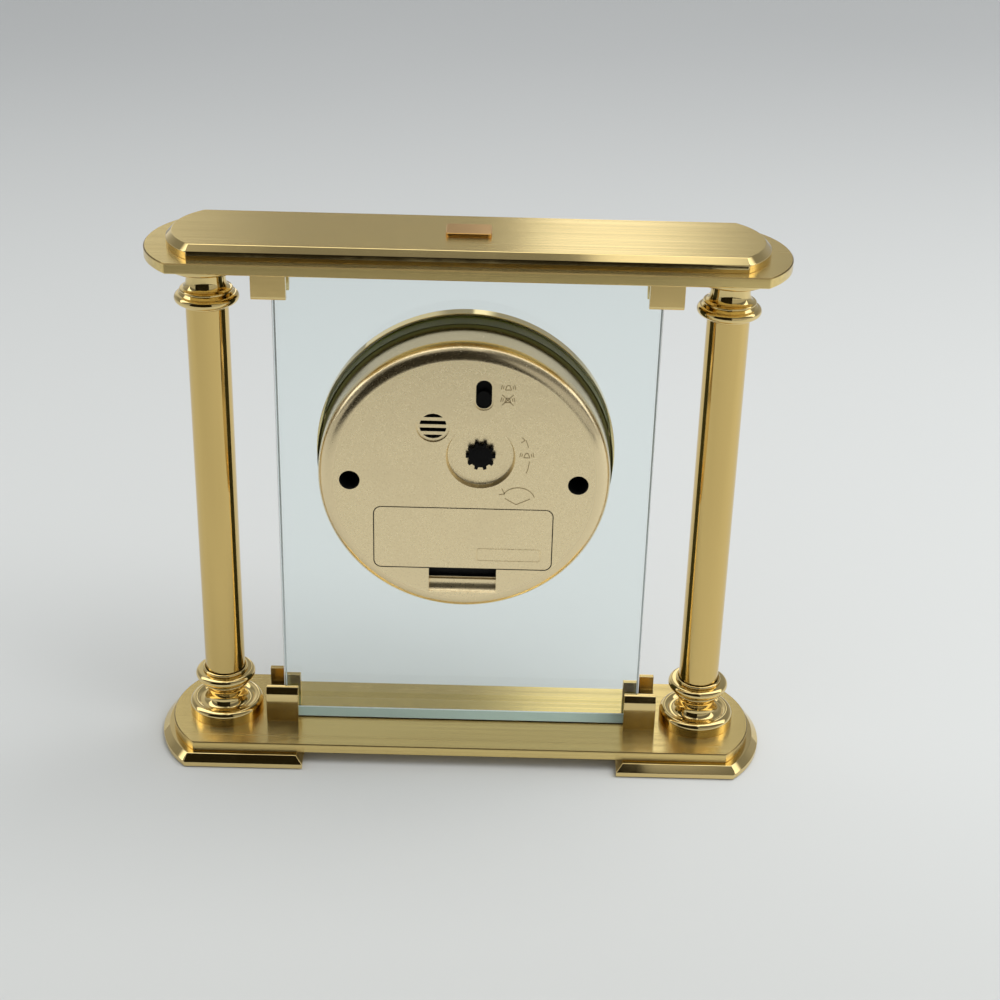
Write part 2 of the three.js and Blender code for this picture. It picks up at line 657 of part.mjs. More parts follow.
function buildClips() {
  const slotHalf = GLASS_FACE + SEAT;
  for (const [word, side] of [['left', -1], ['right', 1]]) {
    const innerX = side * CLIP_INNER_X;
    const outerX = side * CLIP_OUTER_X;
    const [lowX, highX] = [Math.min(innerX, outerX), Math.max(innerX, outerX)];
    const slotEnd = innerX + side * CLIP_SLOT_DEPTH;
    const slotStart = innerX - side;
    for (const [level, at, up] of [['bottom', BASE_TOP, 1], ['top', BEAM_BOTTOM, -1]]) {
      const section = clipSection().map(([y, z]) => new THREE.Vector2(y, z));
      const bar = new THREE.ExtrudeGeometry(new THREE.Shape(section), { depth: CLIP_WIDTH, bevelEnabled: false });
      const position = bar.attributes.position;
      const index = [];
      for (let i = 0; i < position.count; i += 1) {
        const [y, z, along] = [position.getX(i), position.getY(i), position.getZ(i)];
        position.setXYZ(i, along > CLIP_WIDTH / 2 ? highX : lowX, up * y, at + up * z);
        index.push(i);
      }
      const ordered = new THREE.BufferGeometry();
      ordered.setAttribute('position', position);
      ordered.setIndex(index);
      const slot = box(
        [Math.min(slotStart, slotEnd), -slotHalf, Math.min(at, at + up * CLIP_JAW_HEIGHT) - 1],
        [Math.max(slotStart, slotEnd), slotHalf, Math.max(at, at + up * CLIP_JAW_HEIGHT) + 1]);
      const tip = at + up * CLIP_SCREW_GRIP;
      const tipHole = at + up * (CLIP_SCREW_GRIP + SEAT);
      const bore = rodAlongZ(
        CLIP_SCREW_R + SEAT, Math.min(at - up, tipHole), Math.max(at - up, tipHole), 12, side * CLIP_SCREW_X, 0);
      place(clock, `glass_clip_${level}_${word}`, combine(ordered, { cut: [slot, bore] }), POLISHED_BRASS);
      const headEnd = up > 0 ? FOOT_BOTTOM : BEAM_TOP;
      const seat = headEnd + up * CLIP_SCREW_HEAD_THICK;
      place(clock, `clip_screw_${level}_${word}`, clipScrew(side * CLIP_SCREW_X, seat, tip, headEnd), STEEL);
    }
  }
}

// Front of the clock head: bezel, lens, sight ring and dial

function ringProfile(points) {
  return [...points, points[0]];
}

function buildBezel() {
  const flange = GLASS_FACE + SEAT;
  const skirtOuter = BEZEL_SKIRT_R;
  const skirtInner = LENS_R + SEAT;
  const skirtRear = DRUM_FRONT + SEAT;
  const rebate = RING_FRONT + SEAT + LENS_THICK + SEAT;
  const crownR = (BEZEL_R + BEZEL_LIP_R) / 2;
  const rise = BEZEL_FRONT - flange - BEZEL_RIM;
  const profile = ringProfile([
    [skirtInner, skirtRear], [skirtOuter, skirtRear], [skirtOuter, flange], [BEZEL_R, flange],
    ...arc(crownR, flange + BEZEL_RIM, BEZEL_R - crownR, rise, 0, 90, 4),
    ...arc(BEZEL_LIP_R + 0.9, BEZEL_FRONT - 0.9, 0.9, 0.6, 90, 180, 1),
    [BEZEL_LIP_R, rebate], [skirtInner, rebate],
  ]);
  place(head, 'bezel', turned(profile, RING_SIDES), POLISHED_BRASS);

  const lensRear = RING_FRONT + SEAT;
  const dome = [];
  const domeSteps = 3;
  for (let i = 0; i <= domeSteps; i += 1) {
    const r = BEZEL_LIP_R * (1 - i / domeSteps);
    dome.push([r, lensRear + LENS_THICK + LENS_DOME * (1 - (r / BEZEL_LIP_R) ** 2)]);
  }
  const lens = [[0, lensRear], [LENS_R, lensRear], [LENS_R, lensRear + LENS_THICK], ...dome];
  place(head, 'lens', turned(lens, RING_SIDES), GLASS);

  const ringRear = DIAL_FRONT + SEAT;
  const sight = ringProfile([
    [RING_SIGHT_R, ringRear + 0.5], [RING_SIGHT_R, ringRear], [DIAL_R + 0.1, ringRear],
    [DIAL_R + 0.1, DRUM_FRONT + 0.4], [LENS_R, DRUM_FRONT + 0.4], [LENS_R, RING_FRONT],
    [BEZEL_LIP_R, RING_FRONT],
  ]);
  place(head, 'sight_ring', turned(sight, RING_SIDES), POLISHED_BRASS);

  const dial = new THREE.Shape();
  dial.absarc(0, 0, DIAL_R, 0, 2 * Math.PI);
  dial.holes.push(circleHole(0, 0, ALARM_PIPE_R + SEAT));
  place(head, 'dial', prism(dial, DIAL_FRONT - DIAL_THICK, DIAL_FRONT, RING_SIDES / 2), DIAL_CREAM);
}

// Gears. Flanks follow the involute of the pressure angle; teeth are thinned by the backlash.

const involute = (angle) => Math.tan(angle) - angle;

function gearOutline(teeth, module, phase, flankSteps) {
  const pitchR = (teeth * module) / 2;
  const baseR = pitchR * Math.cos(PRESSURE_ANGLE);
  const rootR = pitchR - DEDENDUM * module;
  const tipR = pitchR + ADDENDUM * module;
  const halfAtPitch = Math.PI / (2 * teeth) - (BACKLASH * module) / pitchR;
  const halfAt = (r) => {
    const angle = Math.acos(Math.min(1, baseR / r));
    return halfAtPitch + involute(PRESSURE_ANGLE) - involute(angle);
  };
  const radii = [rootR];
  for (let i = 0; i < flankSteps; i += 1) {
    radii.push(THREE.MathUtils.lerp(Math.max(rootR, baseR), tipR, (i + 1) / flankSteps));
  }
  const points = [];
  for (let tooth = 0; tooth < teeth; tooth += 1) {
    const centre = phase + (2 * Math.PI * tooth) / teeth;
    const at = (r, side) => {
      const angle = centre + side * halfAt(r);
      points.push(new THREE.Vector2(r * Math.cos(angle), r * Math.sin(angle)));
    };
    radii.forEach((r) => at(r, -1));
    [...radii].reverse().forEach((r) => at(r, 1));
  }
  return points;
}

function gear({ teeth, module, phase = 0, low, high, bore = 0 }) {
  const flankSteps = teeth > 20 ? 1 : 2;
  const shape = new THREE.Shape(gearOutline(teeth, module, phase, flankSteps));
  if (bore > 0) shape.holes.push(circleHole(0, 0, bore));
  return prism(shape, low, high, 6);
}

// Phase of the driven gear that puts one of its gaps where the driver has a tooth
function meshPhase(driverTeeth, driverPhase, drivenTeeth, direction) {
  return direction + Math.PI + ((direction - driverPhase) * driverTeeth + Math.PI) / drivenTeeth;
}

function levelBand(level, thick) {
  return { low: level - thick / 2, high: level + thick / 2 };
}

function buildMotionWork() {
  const direction = Math.atan2(KNOB_Y, KNOB_X);
  const cannon = gear({
    teeth: CANNON_TEETH, module: MOTION_MODULE, ...levelBand(MOTION_LEVEL, PINION_THICK), bore: MINUTE_BORE });
  const minutePipe = turned(pipeProfile(
    MINUTE_BORE, MINUTE_PIPE_R, CENTRE_LEVEL - WHEEL_THICK / 2, MINUTE_HAND_LEVEL + HAND_THICK / 2), 12);
  place(head, 'cannon_pinion', fusePipe(minutePipe, cannon, MINUTE_BORE), STEEL);

  const motionPhase = meshPhase(CANNON_TEETH, 0, MOTION_TEETH, direction);
  const motionWheel = gear({
    teeth: MOTION_TEETH, module: MOTION_MODULE, phase: motionPhase, ...levelBand(MOTION_LEVEL, WHEEL_THICK) });
  const motionPinion = gear({
    teeth: MOTION_PINION_TEETH, module: MOTION_MODULE, low: MOTION_LEVEL, high: HOUR_LEVEL + PINION_THICK / 2 });
  const motionBore = rodAlongZ(KNOB_TIP_R + SEAT, MOTION_LEVEL - 3, HOUR_LEVEL + 3, 12);
  place(head, 'motion_wheel', combine(motionWheel, { add: [motionPinion], cut: [motionBore] })
    .translate(KNOB_X, KNOB_Y, 0), WHITE_PLASTIC);

  const hourPhase = meshPhase(MOTION_PINION_TEETH, 0, HOUR_TEETH, direction + Math.PI);
  const hourWheel = gear({
    teeth: HOUR_TEETH, module: MOTION_MODULE, phase: hourPhase, ...levelBand(HOUR_LEVEL, WHEEL_THICK) });
  const hourPipe = turned(pipeProfile(
    HOUR_BORE, HOUR_PIPE_R, HOUR_LEVEL - WHEEL_THICK / 2, HOUR_HAND_LEVEL + HAND_THICK / 2), 14);
  place(head, 'hour_wheel', fusePipe(hourPipe, hourWheel, HOUR_BORE), WHITE_PLASTIC);

  const alarmWheel = gear({
    teeth: ALARM_TEETH, module: MOTION_MODULE, ...levelBand(ALARM_LEVEL, WHEEL_THICK) });
  const alarmPipe = turned(pipeProfile(
    ALARM_BORE, ALARM_PIPE_R, ALARM_LEVEL - WHEEL_THICK / 2, ALARM_HAND_LEVEL + HAND_THICK / 2), 16);
  place(head, 'alarm_wheel', fusePipe(alarmPipe, alarmWheel, ALARM_BORE), WHITE_PLASTIC);

  const settingPhase = meshPhase(ALARM_TEETH, 0, ALARM_SETTING_TEETH, direction);
  const setting = gear({
    teeth: ALARM_SETTING_TEETH, module: MOTION_MODULE, phase: settingPhase,
    ...levelBand(ALARM_LEVEL, WHEEL_THICK), bore: KNOB_TIP_R + SEAT });
  place(head, 'alarm_setting_wheel', setting.translate(KNOB_X, KNOB_Y, 0), WHITE_PLASTIC);
}

function pipeProfile(inner, outer, low, high) {
  return [[inner, low], [outer, low], [outer, high], [inner, high], [inner, low]];
}

// A wheel with its pipe: the wheel's middle is bored out to the pipe's own bore
function fusePipe(pipe, wheel, bore) {
  const boreCut = rodAlongZ(bore, DRUM_REAR, BEZEL_FRONT, 12);
  return combine(wheel, { add: [pipe], cut: [boreCut] });
}

function pivotedWheel({ teeth, module, level, pinion, arborFront }) {
  const wheel = gear({ teeth, module, ...levelBand(level, WHEEL_THICK) });
  const reach = pinion.level > level ? PINION_THICK / 2 - 0.1 : -PINION_THICK / 2;
  const ends = [level, pinion.level + reach].sort((a, b) => a - b);
  const leaves = gear({
    teeth: pinion.teeth, module: pinion.module, phase: pinion.phase, low: ends[0], high: ends[1] });
  const arbor = rodAlongZ(PIVOT_R, PIVOT_REAR, arborFront, 10);
  return combine(wheel, { add: [leaves, arbor] });
}

function buildGoingTrain() {
  const centreWheel = gear({
    teeth: CENTRE_TEETH, module: CENTRE_MODULE, ...levelBand(CENTRE_LEVEL, WHEEL_THICK),
    bore: MINUTE_PIPE_R + SEAT });
  place(head, 'centre_wheel', centreWheel, WHITE_PLASTIC);

  const third = pivotedWheel({
    teeth: THIRD_TEETH, module: THIRD_MODULE, level: THIRD_LEVEL, arborFront: PIVOT_FRONT,
    pinion: {
      teeth: LEAF_TEETH, module: CENTRE_MODULE, level: CENTRE_LEVEL,
      phase: meshPhase(CENTRE_TEETH, 0, LEAF_TEETH, THIRD_ANGLE),
    },
  });
  place(head, 'third_wheel', third.translate(THIRD_AT.x, THIRD_AT.y, 0), WHITE_PLASTIC);

  const second = pivotedWheel({
    teeth: SECOND_TEETH, module: SECOND_MODULE, level: SECOND_LEVEL, arborFront: SECOND_TIP,
    pinion: {
      teeth: LEAF_TEETH, module: THIRD_MODULE, level: THIRD_LEVEL,
      phase: meshPhase(THIRD_TEETH, 0, LEAF_TEETH, THIRD_ANGLE + Math.PI),
    },
  });
  place(head, 'second_wheel', second, WHITE_PLASTIC);

  const intermediate = pivotedWheel({
    teeth: INTERMEDIATE_TEETH, module: ROTOR_MODULE, level: INTERMEDIATE_LEVEL, arborFront: PIVOT_FRONT,
    pinion: {
      teeth: LEAF_TEETH, module: SECOND_MODULE, level: SECOND_LEVEL,
      phase: meshPhase(SECOND_TEETH, 0, LEAF_TEETH, INTERMEDIATE_ANGLE),
    },
  });
  place(head, 'intermediate_wheel',
    intermediate.translate(INTERMEDIATE_AT.x, INTERMEDIATE_AT.y, 0), WHITE_PLASTIC);

  const rotorPhase = meshPhase(INTERMEDIATE_TEETH, 0, ROTOR_TEETH, ROTOR_ANGLE);
  const magnet = rodAlongZ(
    ROTOR_MAGNET_R, STATOR_LEVEL - ROTOR_MAGNET_THICK / 2, STATOR_LEVEL + ROTOR_MAGNET_THICK / 2, 16);
  const leaves = gear({
    teeth: ROTOR_TEETH, module: ROTOR_MODULE, phase: rotorPhase,
    low: INTERMEDIATE_LEVEL - PINION_THICK / 2, high: STATOR_LEVEL });
  const arbor = rodAlongZ(PIVOT_R, PIVOT_REAR, PIVOT_FRONT, 10);
  place(head, 'rotor', combine(magnet, { add: [leaves, arbor] }).translate(ROTOR_AT.x, ROTOR_AT.y, 0), STEEL);
}

// Stepping motor: a flat stator with a window for the rotor, its core inside the coil

function buildMotor() {
  const { x, y } = ROTOR_AT;
  const [low, high] = [STATOR_LEVEL - STATOR_THICK / 2, STATOR_LEVEL + STATOR_THICK / 2];
  const end = COIL_LENGTH / 2 + COIL_END_ROOM;
  const half = CORE_WIDTH / 2;
  const leg = (side) => {
    const corners = [
      [x - 1, y + side * (STATOR_R - 0.2)], [x + 3.2, y + side * 1.4],
      [COIL_X - COIL_R - SEAT, y + side * (end - half)], [COIL_X + half, y + side * (end - half)],
      [COIL_X + half, y + side * (end + half)], [COIL_X - half - 0.8, y + side * (end + half)],
    ];
    return prism(outlineShape(side > 0 ? corners : [...corners].reverse()), low, high);
  };
  const disc = rodAlongZ(STATOR_R, low, high, 20, x, y);
  const core = box([COIL_X - half, y - end, low], [COIL_X + half, y + end, high]);
  const window = rodAlongZ(ROTOR_MAGNET_R + 0.4, low - 1, high + 1, 20, x, y);
  place(head, 'stator', combine(disc, { add: [leg(1), leg(-1), core], cut: [window] }), STEEL);

  const bore = Math.hypot(half, STATOR_THICK / 2) + SEAT;
  const flange = COIL_LENGTH / 2 - COIL_FLANGE_THICK;
  const coil = turned([
    [bore, -COIL_LENGTH / 2], [COIL_R, -COIL_LENGTH / 2], [COIL_R, -flange], [COIL_R - 0.5, -flange],
    [COIL_R - 0.5, flange], [COIL_R, flange], [COIL_R, COIL_LENGTH / 2], [bore, COIL_LENGTH / 2],
    [bore, -COIL_LENGTH / 2],
  ], 10);
  place(head, 'coil', coil.rotateX(Math.PI / 2).translate(COIL_X, y, STATOR_LEVEL), COPPER_WIRE);
}

// Plates of the movement: the carrier behind the dial bears every post, the other two plates
// stand on its pillars

function buildMovementPlates() {
  const back = CARRIER_FRONT - CARRIER_THICK;
  const disc = rodAlongZ(DIAL_R, back, CARRIER_FRONT, RING_SIDES);
  const add = [];
  const cut = [
    rodAlongZ(ALARM_PIPE_R + SEAT, back - 1, CARRIER_FRONT + 1, 20),
    rodAlongZ(KNOB_TIP_R + SEAT, back - 1, CARRIER_FRONT + 1, 10, KNOB_X, KNOB_Y),
  ];
  for (const [x, y] of PILLARS) {
    add.push(rodAlongZ(PILLAR_SHOULDER_R, MIDDLE_FRONT + SEAT, back + 0.2, 12, x, y));
    add.push(rodAlongZ(PILLAR_R, REAR_PLATE_FRONT + SEAT, back, 12, x, y));
    add.push(rodAlongZ(PILLAR_PIN_R, REAR_PLATE_FRONT - REAR_PLATE_THICK, back, 10, x, y));
  }
  for (const x of BOARD_POSTS_X) {
    add.push(rodAlongZ(PILLAR_R, BOARD_FRONT + SEAT, back + 0.2, 10, x, BOARD_POST_Y));
  }
  for (const side of [-1, 1]) {
    const postEnd = SCREW_SEAT + SCREW_SEAT_THICK + SEAT;
    add.push(rodAlongZ(SCREW_HEAD_R, postEnd, back + 0.2, 14, side * SCREW_HOLE_X, 0));
    cut.push(rodAlongZ(SCREW_R + SEAT, postEnd - 1, back - 0.6, 12, side * SCREW_HOLE_X, 0));
    const saddle = box(
      [side * SADDLE_X - BAY_WALL / 2, CELL_Y - SADDLE_HALF, SADDLE_REAR],
      [side * SADDLE_X + BAY_WALL / 2, CELL_Y + SADDLE_HALF - 0.7, back + 0.2]);
    add.push(saddle);
  }
  const bayEnd = DRUM_REAR + DRUM_WALL - 0.1 + BAY_FRAME + SEAT;
  const wallHalf = CELL_R + 0.2;
  add.push(box([CONTACT_WALL_X, CELL_Y - wallHalf, bayEnd],
    [CONTACT_WALL_X + BAY_WALL, CELL_Y + wallHalf, back + 0.2]));
  add.push(box([LEAF_WALL_X - BAY_WALL, CELL_Y - wallHalf, bayEnd],
    [LEAF_WALL_X, CELL_Y + wallHalf, back + 0.2]));
  const cellRoom = rodAlongZ(CELL_R + SEAT, -CELL_LENGTH / 2, CELL_LENGTH / 2, 16)
    .rotateY(Math.PI / 2).translate(0, CELL_Y, CELL_Z);
  cut.push(cellRoom);
  place(head, 'movement_front_plate', combine(disc, { add, cut }), WHITE_PLASTIC);

  const plateShape = (holes) => {
    const [low, high] = [TRAIN_PLATE_LOW, TRAIN_PLATE_HIGH];
    const shape = roundedRectangle(
      (low.x + high.x) / 2, (low.y + high.y) / 2, high.x - low.x, high.y - low.y, 2.5);
    for (const [x, y, radius] of holes) shape.holes.push(circleHole(x, y, radius));
    return shape;
  };
  const pivots = [THIRD_AT, INTERMEDIATE_AT, ROTOR_AT].map(({ x, y }) => [x, y, PIVOT_R + SEAT]);
  const knobHole = [KNOB_X, KNOB_Y, KNOB_ARBOR_R + SEAT];
  const middleHoles = [
    ...pivots, knobHole, [0, 0, MINUTE_PIPE_R + SEAT],
    ...PILLARS.map(([x, y]) => [x, y, PILLAR_R + SEAT]),
  ];
  const middle = prism(plateShape(middleHoles), MIDDLE_FRONT - MIDDLE_THICK, MIDDLE_FRONT, 6);
  const studs = [1, -1].map((side) => rodAlongZ(
    STUD_R, STATOR_LEVEL + STATOR_THICK / 2 + SEAT, MIDDLE_FRONT - MIDDLE_THICK / 2, 10,
    ROTOR_AT.x + STUD_OFFSET.x, ROTOR_AT.y + side * STUD_OFFSET.y));
  place(head, 'movement_middle_plate', combine(middle, { add: studs }), WHITE_PLASTIC);

  const rearHoles = [
    ...pivots, knobHole, [0, 0, PIVOT_R + SEAT],
    ...PILLARS.map(([x, y]) => [x, y, PILLAR_PIN_R + SEAT]),
  ];
  const rear = prism(plateShape(rearHoles), REAR_PLATE_FRONT - REAR_PLATE_THICK, REAR_PLATE_FRONT, 6);
  place(head, 'movement_rear_plate', rear, WHITE_PLASTIC);

  const board = roundedRectangle(
    (BOARD_LOW.x + BOARD_HIGH.x) / 2, (BOARD_LOW.y + BOARD_HIGH.y) / 2,
    BOARD_HIGH.x - BOARD_LOW.x, BOARD_HIGH.y - BOARD_LOW.y, 1);
  place(head, 'circuit_board', prism(board, BOARD_FRONT - BOARD_THICK, BOARD_FRONT, 3), BOARD_GREEN);
}

// Rear cover: a moulded cup with the recess for the knob, the grille of the sounder, the
// slot of the alarm switch, two deep screw holes, the battery door and its finger notch

function coverCup() {
  const inner = DRUM_R - DRUM_WALL;
  const filletCentre = DRUM_REAR + DRUM_FILLET;
  const flatR = DRUM_R - DRUM_FILLET;
  const innerFillet = DRUM_FILLET - DRUM_WALL;
  const grooveR = DRUM_R - BAND_GROOVE;
  return turned([
    [0, DRUM_REAR],
    ...arc(flatR, filletCentre, DRUM_FILLET, DRUM_FILLET, -90, 0, 4),
    [DRUM_R, BAND_REAR - SEAT], [grooveR, BAND_REAR - SEAT], [grooveR, BAND_FRONT + SEAT],
    [DRUM_R, BAND_FRONT + SEAT], [DRUM_R, DRUM_FRONT], [inner, DRUM_FRONT],
    ...arc(flatR, filletCentre, innerFillet, innerFillet, 0, -90, 2),
    [0, DRUM_REAR + DRUM_WALL],
  ], COVER_SIDES);
}

function grilleCuts() {
  const disc = toSolid(rodAlongZ(GRILLE_R, DRUM_REAR - 1, DRUM_REAR + DRUM_WALL + 1, 20, GRILLE_X, GRILLE_Y));
  const cuts = [rodAlongZ(GRILLE_RECESS_R, DRUM_REAR - 1, DRUM_REAR + GRILLE_RECESS_DEPTH, 24, GRILLE_X, GRILLE_Y)];
  for (let i = 0; i < GRILLE_SLOTS; i += 1) {
    const y = GRILLE_Y + (i - (GRILLE_SLOTS - 1) / 2) * GRILLE_PITCH;
    const bar = box(
      [GRILLE_X - GRILLE_R - 1, y - GRILLE_SLOT / 2, DRUM_REAR - 2],
      [GRILLE_X + GRILLE_R + 1, y + GRILLE_SLOT / 2, DRUM_REAR + DRUM_WALL + 2]);
    cuts.push(toGeometry(disc.intersect(toSolid(bar))));
  }
  return cuts;
}

// The finger notch is a pocket right under the door, with a ramp up to the face below it
function notchCut() {
  const top = DOOR_Y - DOOR_HEIGHT / 2 + 0.1;
  const deepEnd = DOOR_Y - DOOR_HEIGHT / 2 - NOTCH_DEEP_WIDTH;
  const outline = [
    [top, DRUM_REAR - 1], [top, DRUM_REAR + NOTCH_DEEP], [deepEnd, DRUM_REAR + NOTCH_DEEP],
    [deepEnd, DRUM_REAR + NOTCH_LEDGE], [THREE.MathUtils.lerp(deepEnd, NOTCH_BOTTOM_Y, 0.6), DRUM_REAR + 1.2],
    [NOTCH_BOTTOM_Y + 0.5, DRUM_REAR + 0.7], [NOTCH_BOTTOM_Y, DRUM_REAR - 1],
  ];
  const side = new THREE.Shape(outline.map(([y, z]) => new THREE.Vector2(z, y)));
  const bar = new THREE.ExtrudeGeometry(side, { depth: 2 * NOTCH_HALF_WIDTH, bevelEnabled: false });
  return bar.rotateY(-Math.PI / 2).translate(NOTCH_HALF_WIDTH, 0, 0);
}

function buildRearCover() {
  const inside = DRUM_REAR + DRUM_WALL;
  const floorFront = DRUM_REAR + RECESS_DEPTH + RECESS_FLOOR_THICK;
  const add = [rodAlongZ(RECESS_R + 0.5, inside - 0.2, floorFront, 22, KNOB_X, KNOB_Y)];
  const recess = turned([
    [0, DRUM_REAR - 1], [RECESS_R + 0.6, DRUM_REAR - 1], [RECESS_R, DRUM_REAR],
    [RECESS_FLOOR_R, DRUM_REAR + RECESS_DEPTH], [0, DRUM_REAR + RECESS_DEPTH],
  ], 26).translate(KNOB_X, KNOB_Y, 0);
  const cut = [recess, rodAlongZ(KNOB_NECK_R + SEAT, DRUM_REAR, 0, 16, KNOB_X, KNOB_Y), ...grilleCuts()];

  for (const side of [-1, 1]) {
    const x = side * SCREW_HOLE_X;
    add.push(rodAlongZ(SCREW_HOLE_R + SCREW_BOSS_WALL, inside - 0.2, SCREW_SEAT + SCREW_SEAT_THICK, 14, x, 0));
    cut.push(rodAlongZ(SCREW_HOLE_R, DRUM_REAR - 1, SCREW_SEAT, 14, x, 0));
    cut.push(rodAlongZ(SCREW_R + SEAT, SCREW_SEAT - 1, SCREW_SEAT + SCREW_SEAT_THICK + 1, 12, x, 0));
    const railX = SWITCH_X + side * (SWITCH_PLATE_WIDTH / 2 + SEAT + 0.5);
    add.push(box([railX - 0.5, SWITCH_Y - 5, inside - 0.2], [railX + 0.5, SWITCH_Y + 5, inside + 1.2]));
  }

  const slot = roundedRectangle(
    SWITCH_X, SWITCH_Y, SWITCH_SLOT_WIDTH, SWITCH_SLOT_LENGTH, SWITCH_SLOT_WIDTH / 2 - 0.01);
  cut.push(prism(slot, DRUM_REAR - 1, inside + 1, 6));

  const seatRing = ringShape(BUZZER_R + SEAT + 1, BUZZER_R + SEAT);
  add.push(prism(seatRing, inside - 0.2, inside + 1.2, 10).translate(GRILLE_X, GRILLE_Y, 0));

  const opening = (grow, low, high) => prism(roundedRectangle(
    0, DOOR_Y, DOOR_WIDTH + 2 * grow, DOOR_HEIGHT + 2 * grow, DOOR_CORNER + grow), low, high, 4);
  const ledge = inside - 0.1;
  const ledgeFront = ledge + BAY_FRAME;
  add.push(opening(DOOR_GAP + 1.5, ledge - 0.2, ledgeFront));
  add.push(box(
    [-NOTCH_HALF_WIDTH - 1.5, NOTCH_BOTTOM_Y - 1, inside - 0.2],
    [NOTCH_HALF_WIDTH + 1.5, DOOR_Y - DOOR_HEIGHT / 2 + 1.2, DRUM_REAR + NOTCH_DEEP + 1.4]));
  cut.push(opening(DOOR_GAP, DRUM_REAR - 1, ledge));
  cut.push(prism(roundedRectangle(
    0, DOOR_Y, CELL_LENGTH + 2 * CELL_ROOM, 2 * CELL_R + 2 * LEDGE_ROOM, 1), ledge - 1, ledgeFront + 1, 4));
  cut.push(notchCut());
  place(head, 'rear_cover', combine(coverCup(), { add, cut }), COVER_GOLD);

  const band = pipeProfile(DRUM_R - BAND_GROOVE + SEAT, GLASS_HOLE_R - SEAT, BAND_REAR, BAND_FRONT);
  place(head, 'grip_band', turned(band, RING_SIDES), RUBBER);
}

function ringShape(outer, inner) {
  const shape = new THREE.Shape();
  shape.absarc(0, 0, outer, 0, 2 * Math.PI);
  shape.holes.push(circleHole(0, 0, inner));
  return shape;
}

function buildControls() {
  const headRear = DRUM_REAR - KNOB_PROUD;
  const headFront = DRUM_REAR + RECESS_DEPTH - SEAT;
  const outline = [];
  for (let i = 0; i < KNOB_RIBS; i += 1) {
    const centre = (2 * Math.PI * i) / KNOB_RIBS;
    const outerHalf = KNOB_RIB_WIDTH / 2 / KNOB_RIB_R;
    const innerHalf = KNOB_RIB_WIDTH / 2 / KNOB_R;
    for (const [radius, angle] of [
      [KNOB_R, centre - innerHalf], [KNOB_RIB_R, centre - outerHalf],
      [KNOB_RIB_R, centre + outerHalf], [KNOB_R, centre + innerHalf],
    ]) outline.push(new THREE.Vector2(radius * Math.cos(angle), radius * Math.sin(angle)));
  }
  const grip = prism(new THREE.Shape(outline), headRear, headFront);
  const neckFront = REAR_PLATE_FRONT - REAR_PLATE_THICK - SEAT;
  const shoulder = MOTION_LEVEL - WHEEL_THICK / 2 - SEAT;
  const add = [
    rodAlongZ(KNOB_NECK_R, headRear + 0.5, neckFront, 16),
    rodAlongZ(KNOB_ARBOR_R, headRear + 0.5, shoulder, 12),
    rodAlongZ(KNOB_TIP_R, headRear + 0.5, CARRIER_FRONT - 0.4, 10),
  ];
  place(head, 'setting_knob', combine(grip, { add }).translate(KNOB_X, KNOB_Y, 0), BLACK_PLASTIC);

  const inside = DRUM_REAR + DRUM_WALL;
  const restY = SWITCH_Y - SWITCH_TRAVEL / 2;
  const stubLength = SWITCH_SLOT_LENGTH - SWITCH_TRAVEL - 2 * SEAT;
  const stubWidth = SWITCH_SLOT_WIDTH - 2 * SEAT;
  const plate = box(
    [SWITCH_X - SWITCH_PLATE_WIDTH / 2, restY - SWITCH_PLATE_LENGTH / 2, inside + SEAT],
    [SWITCH_X + SWITCH_PLATE_WIDTH / 2, restY + SWITCH_PLATE_LENGTH / 2, inside + SEAT + SWITCH_PLATE_THICK]);
  const stub = prism(
    roundedRectangle(SWITCH_X, restY, stubWidth, stubLength, stubWidth / 2 - 0.01),
    DRUM_REAR + 0.6, inside + SEAT + 0.2, 6);
  place(head, 'alarm_slider', combine(plate, { add: [stub] }), BLACK_PLASTIC);

  const buzzer = rodAlongZ(BUZZER_R, inside + SEAT, inside + SEAT + BUZZER_THICK, 24, GRILLE_X, GRILLE_Y);
  place(head, 'buzzer', buzzer, BLACK_PLASTIC);

  const screwHead = SCREW_SEAT - SEAT;
  const screw = [
    [0, screwHead - SCREW_HEAD_THICK], [SCREW_HEAD_R, screwHead - SCREW_HEAD_THICK], [SCREW_HEAD_R, screwHead],
    [SCREW_R, screwHead], [SCREW_R, CARRIER_FRONT - CARRIER_THICK - 0.9],
    [0, CARRIER_FRONT - CARRIER_THICK - 0.9],
  ];
  for (const [word, side] of [['left', -1], ['right', 1]]) {
    place(head, `cover_screw_${word}`, turned(screw, 12).translate(side * SCREW_HOLE_X, 0, 0), STEEL);
  }
}

function strip(points, thick, low, high) {
  const line = points.map(([x, y]) => new THREE.Vector2(x, y));
  const left = [];
  const right = [];
  line.forEach((point, i) => {
    const before = line[Math.max(0, i - 1)];
    const after = line[Math.min(line.length - 1, i + 1)];
    const along = after.clone().sub(before).normalize();
    const normal = new THREE.Vector2(-along.y, along.x).multiplyScalar(thick / 2);
    left.push(point.clone().add(normal));
    right.push(point.clone().sub(normal));
  });
  return prism(new THREE.Shape([...right, ...left.reverse()]), low, high);
}

